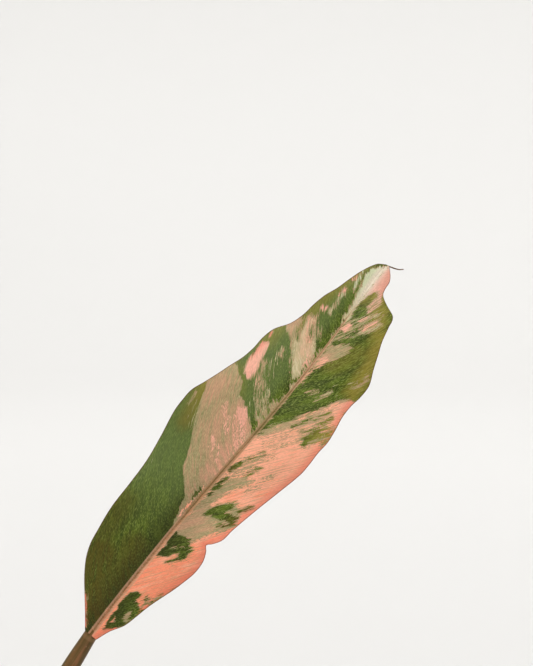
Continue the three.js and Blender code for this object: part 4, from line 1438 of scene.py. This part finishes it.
def clayFinish():
    f = Finish("terracotta", Specular_IOR_Level=0.25)
    place = f.place()
    x, y, z = f.parts(place)
    cloud = f.noise(place, scale=26.0, detail=5.0)
    grain = f.noise(place, scale=900.0, detail=3.0, roughness=0.7)
    rings = f.noise(f.vector(x * 4.0, y * 4.0, z * 900.0), detail=2.0)
    chalk = f.noise(f.vector(x * 40.0, y * 40.0, z * 90.0), detail=6.0, roughness=0.7)
    colour = f.mix(f.step(cloud, 0.35, 0.65), pot["clay"], pot["clayPale"])
    colour = f.mix(f.step(rings, 0.5, 0.75) * 0.35, colour, pot["clayDark"])
    colour = f.mix(f.step(grain, 0.62, 0.72) * 0.35, colour, pot["clayDark"])
    damp = 1 - f.step(z + (cloud - 0.5) * 0.03, 0.004, 0.03)
    colour = f.mix(damp * 0.45, colour, pot["clayDark"])
    bloom = f.step(chalk, 0.55, 0.74) * f.step(z + (cloud - 0.5) * 0.05, 0.028, 0.075)
    colour = f.mix(bloom * 0.5, colour, pot["bloom"])
    height = grain * 0.5 + rings * 0.9 + cloud * 0.3
    rough = 0.86 + (grain - 0.5) * 0.12
    return f.feed(Base_Color=colour, Roughness=rough, Normal=f.bump(height, 0.0005, 0.5))


throwPot()
print("pot is thrown")


# The soil, with bark chips and perlite on it

soil = {
    "surface": 90, "mound": 2.2, "moundRadius": 30,
    "lumps": [(1, 0.31, 0.27, 1.2), (0.7, 0.53, -0.47, 0.5), (0.5, 0.19, 0.61, 1.6)],
    "crumbs": [(8, 0.8, 1.1, 7), (9, 0.4, 2.6, 5)],  # seed, height, fineness and layers
    "calmEdge": (1.5, 0.7),  # width beside the wall and share of the crumbs that it loses
    "gap": 0.3,  # to the pot's wall
    # how far the lower edge and the underside lie above the pot's floor, and the chamfer there
    "foot": (2, 0.4), "chamfer": 2,
    "rings": 60, "around": 200,
    "earth": srgb(58, 44, 34), "earthDark": srgb(34, 26, 20), "earthPale": srgb(92, 72, 54),
    "barkChips": 230, "perliteGrains": 110,
    "strewn": (11, 49),  # between these distances from the pot's axis
    "tilt": 0.28, "spacing": 0.3,
    # length, width and height, each from the least to the most
    "chipSizes": [(5, 11), (3, 6), (1.6, 3.2)],
    "perliteSizes": [(1.4, 4), (1.2, 3.2), (1, 2.6)],
    "barkColours": (srgb(96, 62, 40), srgb(62, 42, 30), srgb(140, 100, 70)),
    "perliteColours": (srgb(226, 222, 212), srgb(206, 200, 188), srgb(240, 238, 232)),
}


def soilHeight(x, y):
    height = soil["surface"] + soil["mound"] * np.exp(-(x * x + y * y) / soil["moundRadius"] ** 2)
    for size, alongX, alongY, phase in soil["lumps"]:
        height = height + size * np.sin(x * alongX + y * alongY + phase)
    return height


def fillSoil():
    edge = innerRadius(soil["surface"]) - soil["gap"]
    top = [(edge * i / soil["rings"], soil["surface"]) for i in range(soil["rings"] + 1)]
    low, floor = (pot["floor"] + step for step in soil["foot"])
    foot = innerRadius(pot["floor"]) - soil["chamfer"]
    bottom = [(innerRadius(low) - soil["gap"], low), (foot, floor), (0, floor)]
    piece = spinProfile([(x * mm, z * mm) for x, z in top + bottom], soil["around"])
    points = readPoints(piece) / mm
    isTop = points[:, 2] > soil["surface"] - 1
    x, y = points[:, 0], points[:, 1]
    layers = [size * ripples(seed, points[:, :2], *grain) for seed, size, *grain in soil["crumbs"]]
    width, loss = soil["calmEdge"]
    calm = 1 - ease(edge - width, edge, np.hypot(x, y)) * loss
    points[isTop, 2] = (soilHeight(x, y) + sum(layers) * calm)[isTop]
    writePoints(piece, points * mm)
    piece.data.materials.append(earthFinish())
    smoothShade(piece, 50)
    handIn(piece, "pottingMix", "soil", "soil")


def earthFinish():
    f = Finish("earth", Specular_IOR_Level=0.2)
    place = f.place()
    cloud = f.noise(place, scale=120.0, detail=5.0)
    grain = f.noise(place, scale=1300.0, detail=4.0, roughness=0.7)
    colour = f.mix(f.step(cloud, 0.35, 0.65), soil["earth"], soil["earthDark"])
    colour = f.mix(f.step(grain, 0.56, 0.7) * 0.6, colour, soil["earthPale"])
    rough = 0.9 + (grain - 0.5) * 0.1
    return f.feed(Base_Color=colour, Roughness=rough, Normal=f.bump(grain + cloud, 0.0012, 0.8))


# Copies a small model over the soil, each copy turned, stretched and sunk in a little.
def scatter(name, model, count, seed, sizes, sink, skin, tries=30):
    draw = random.Random(seed)
    corners = readPoints(model)
    faces = [tuple(face.vertices) for face in model.data.polygons]
    points, copies, placed = [], [], []
    (nearest, farthest), tilt = soil["strewn"], soil["tilt"]

    def isCrowded(x, y, length):
        reach = soil["spacing"]
        return any(math.hypot(x - px, y - py) < (length + pl) * reach for px, py, pl in placed)

    for _ in range(count * tries):
        if len(placed) == count:
            break
        far, a = farthest * math.sqrt(draw.random()), draw.uniform(0, math.tau)
        x, y = far * math.cos(a), far * math.sin(a)
        size = [draw.uniform(*pair) for pair in sizes]
        if far < nearest or isCrowded(x, y, size[0]):
            continue
        placed.append((x, y, size[0]))
        turn = Vector((draw.gauss(0, tilt), draw.gauss(0, tilt), 1)).to_track_quat("Z", "Y")
        spin = draw.uniform(0, math.tau)
        shape = corners * np.array(size) / 2
        c, s = math.cos(spin), math.sin(spin)
        shape = shape @ np.array([[c, s, 0], [-s, c, 0], [0, 0, 1]])
        shape = shape @ np.array(turn.to_matrix()).T
        ground = soilHeight(np.array(x), np.array(y)) + size[2] * (0.5 - sink)
        offset = len(points) * len(corners)
        points.append(shape + (x, y, ground))
        copies += [tuple(i + offset for i in face) for face in faces]
    mesh = bpy.data.meshes.new(name)
    mesh.from_pydata((np.vstack(points) * mm).tolist(), [], copies)
    piece = bpy.data.objects.new(name, mesh)
    bpy.context.scene.collection.objects.link(piece)
    piece.data.materials.append(skin)
    smoothShade(piece, 40)
    bpy.data.objects.remove(model)
    handIn(piece, name, "soil")


# The models fill a box of two units, and scatter gives them their size.
def roughen(model, seed, amount):
    points = readPoints(model)
    points *= 1 + amount * ripples(seed, points, 2.4)[:, None]
    writePoints(model, points)
    return model


def chipModel(seed):
    deselectAll()
    bpy.ops.mesh.primitive_cube_add(size=2)
    model = bpy.context.object
    applyModifier(model, "BEVEL", width=0.35, segments=2)
    applyModifier(model, "SUBSURF", levels=1, render_levels=1)
    return roughen(model, seed, 0.16)


def perliteModel(seed):
    deselectAll()
    bpy.ops.mesh.primitive_ico_sphere_add(subdivisions=2, radius=1)
    return roughen(bpy.context.object, seed, 0.3)


def pebbleSkin(name, first, second, pale, scale, roughness):
    f = Finish(name, Specular_IOR_Level=0.3)
    place = f.place()
    big = f.noise(place, scale=scale, detail=2.0)
    small = f.noise(place, scale=scale * 9, detail=4.0, roughness=0.7)
    colour = f.mix(f.step(big, 0.4, 0.6), first, second)
    colour = f.mix(f.step(small, 0.5, 0.7) * 0.5, colour, pale)
    rough = roughness + (small - 0.5) * 0.1
    return f.feed(Base_Color=colour, Roughness=rough, Normal=f.bump(small, 0.0006, 0.8))


fillSoil()
barkTone = pebbleSkin("barkTone", *soil["barkColours"], 180.0, 0.85)
perliteTone = pebbleSkin("perliteTone", *soil["perliteColours"], 220.0, 0.9)
batches = 3
for batch in range(batches):
    count, chip = soil["barkChips"] // batches, chipModel(70 + batch)
    scatter(f"barkChips_{batch}", chip, count, 90 + batch, soil["chipSizes"], 0.35, barkTone)
count, grain = soil["perliteGrains"], perliteModel(77)
scatter("perlite", grain, count, 99, soil["perliteSizes"], 0.3, perliteTone)
print("soil is filled")
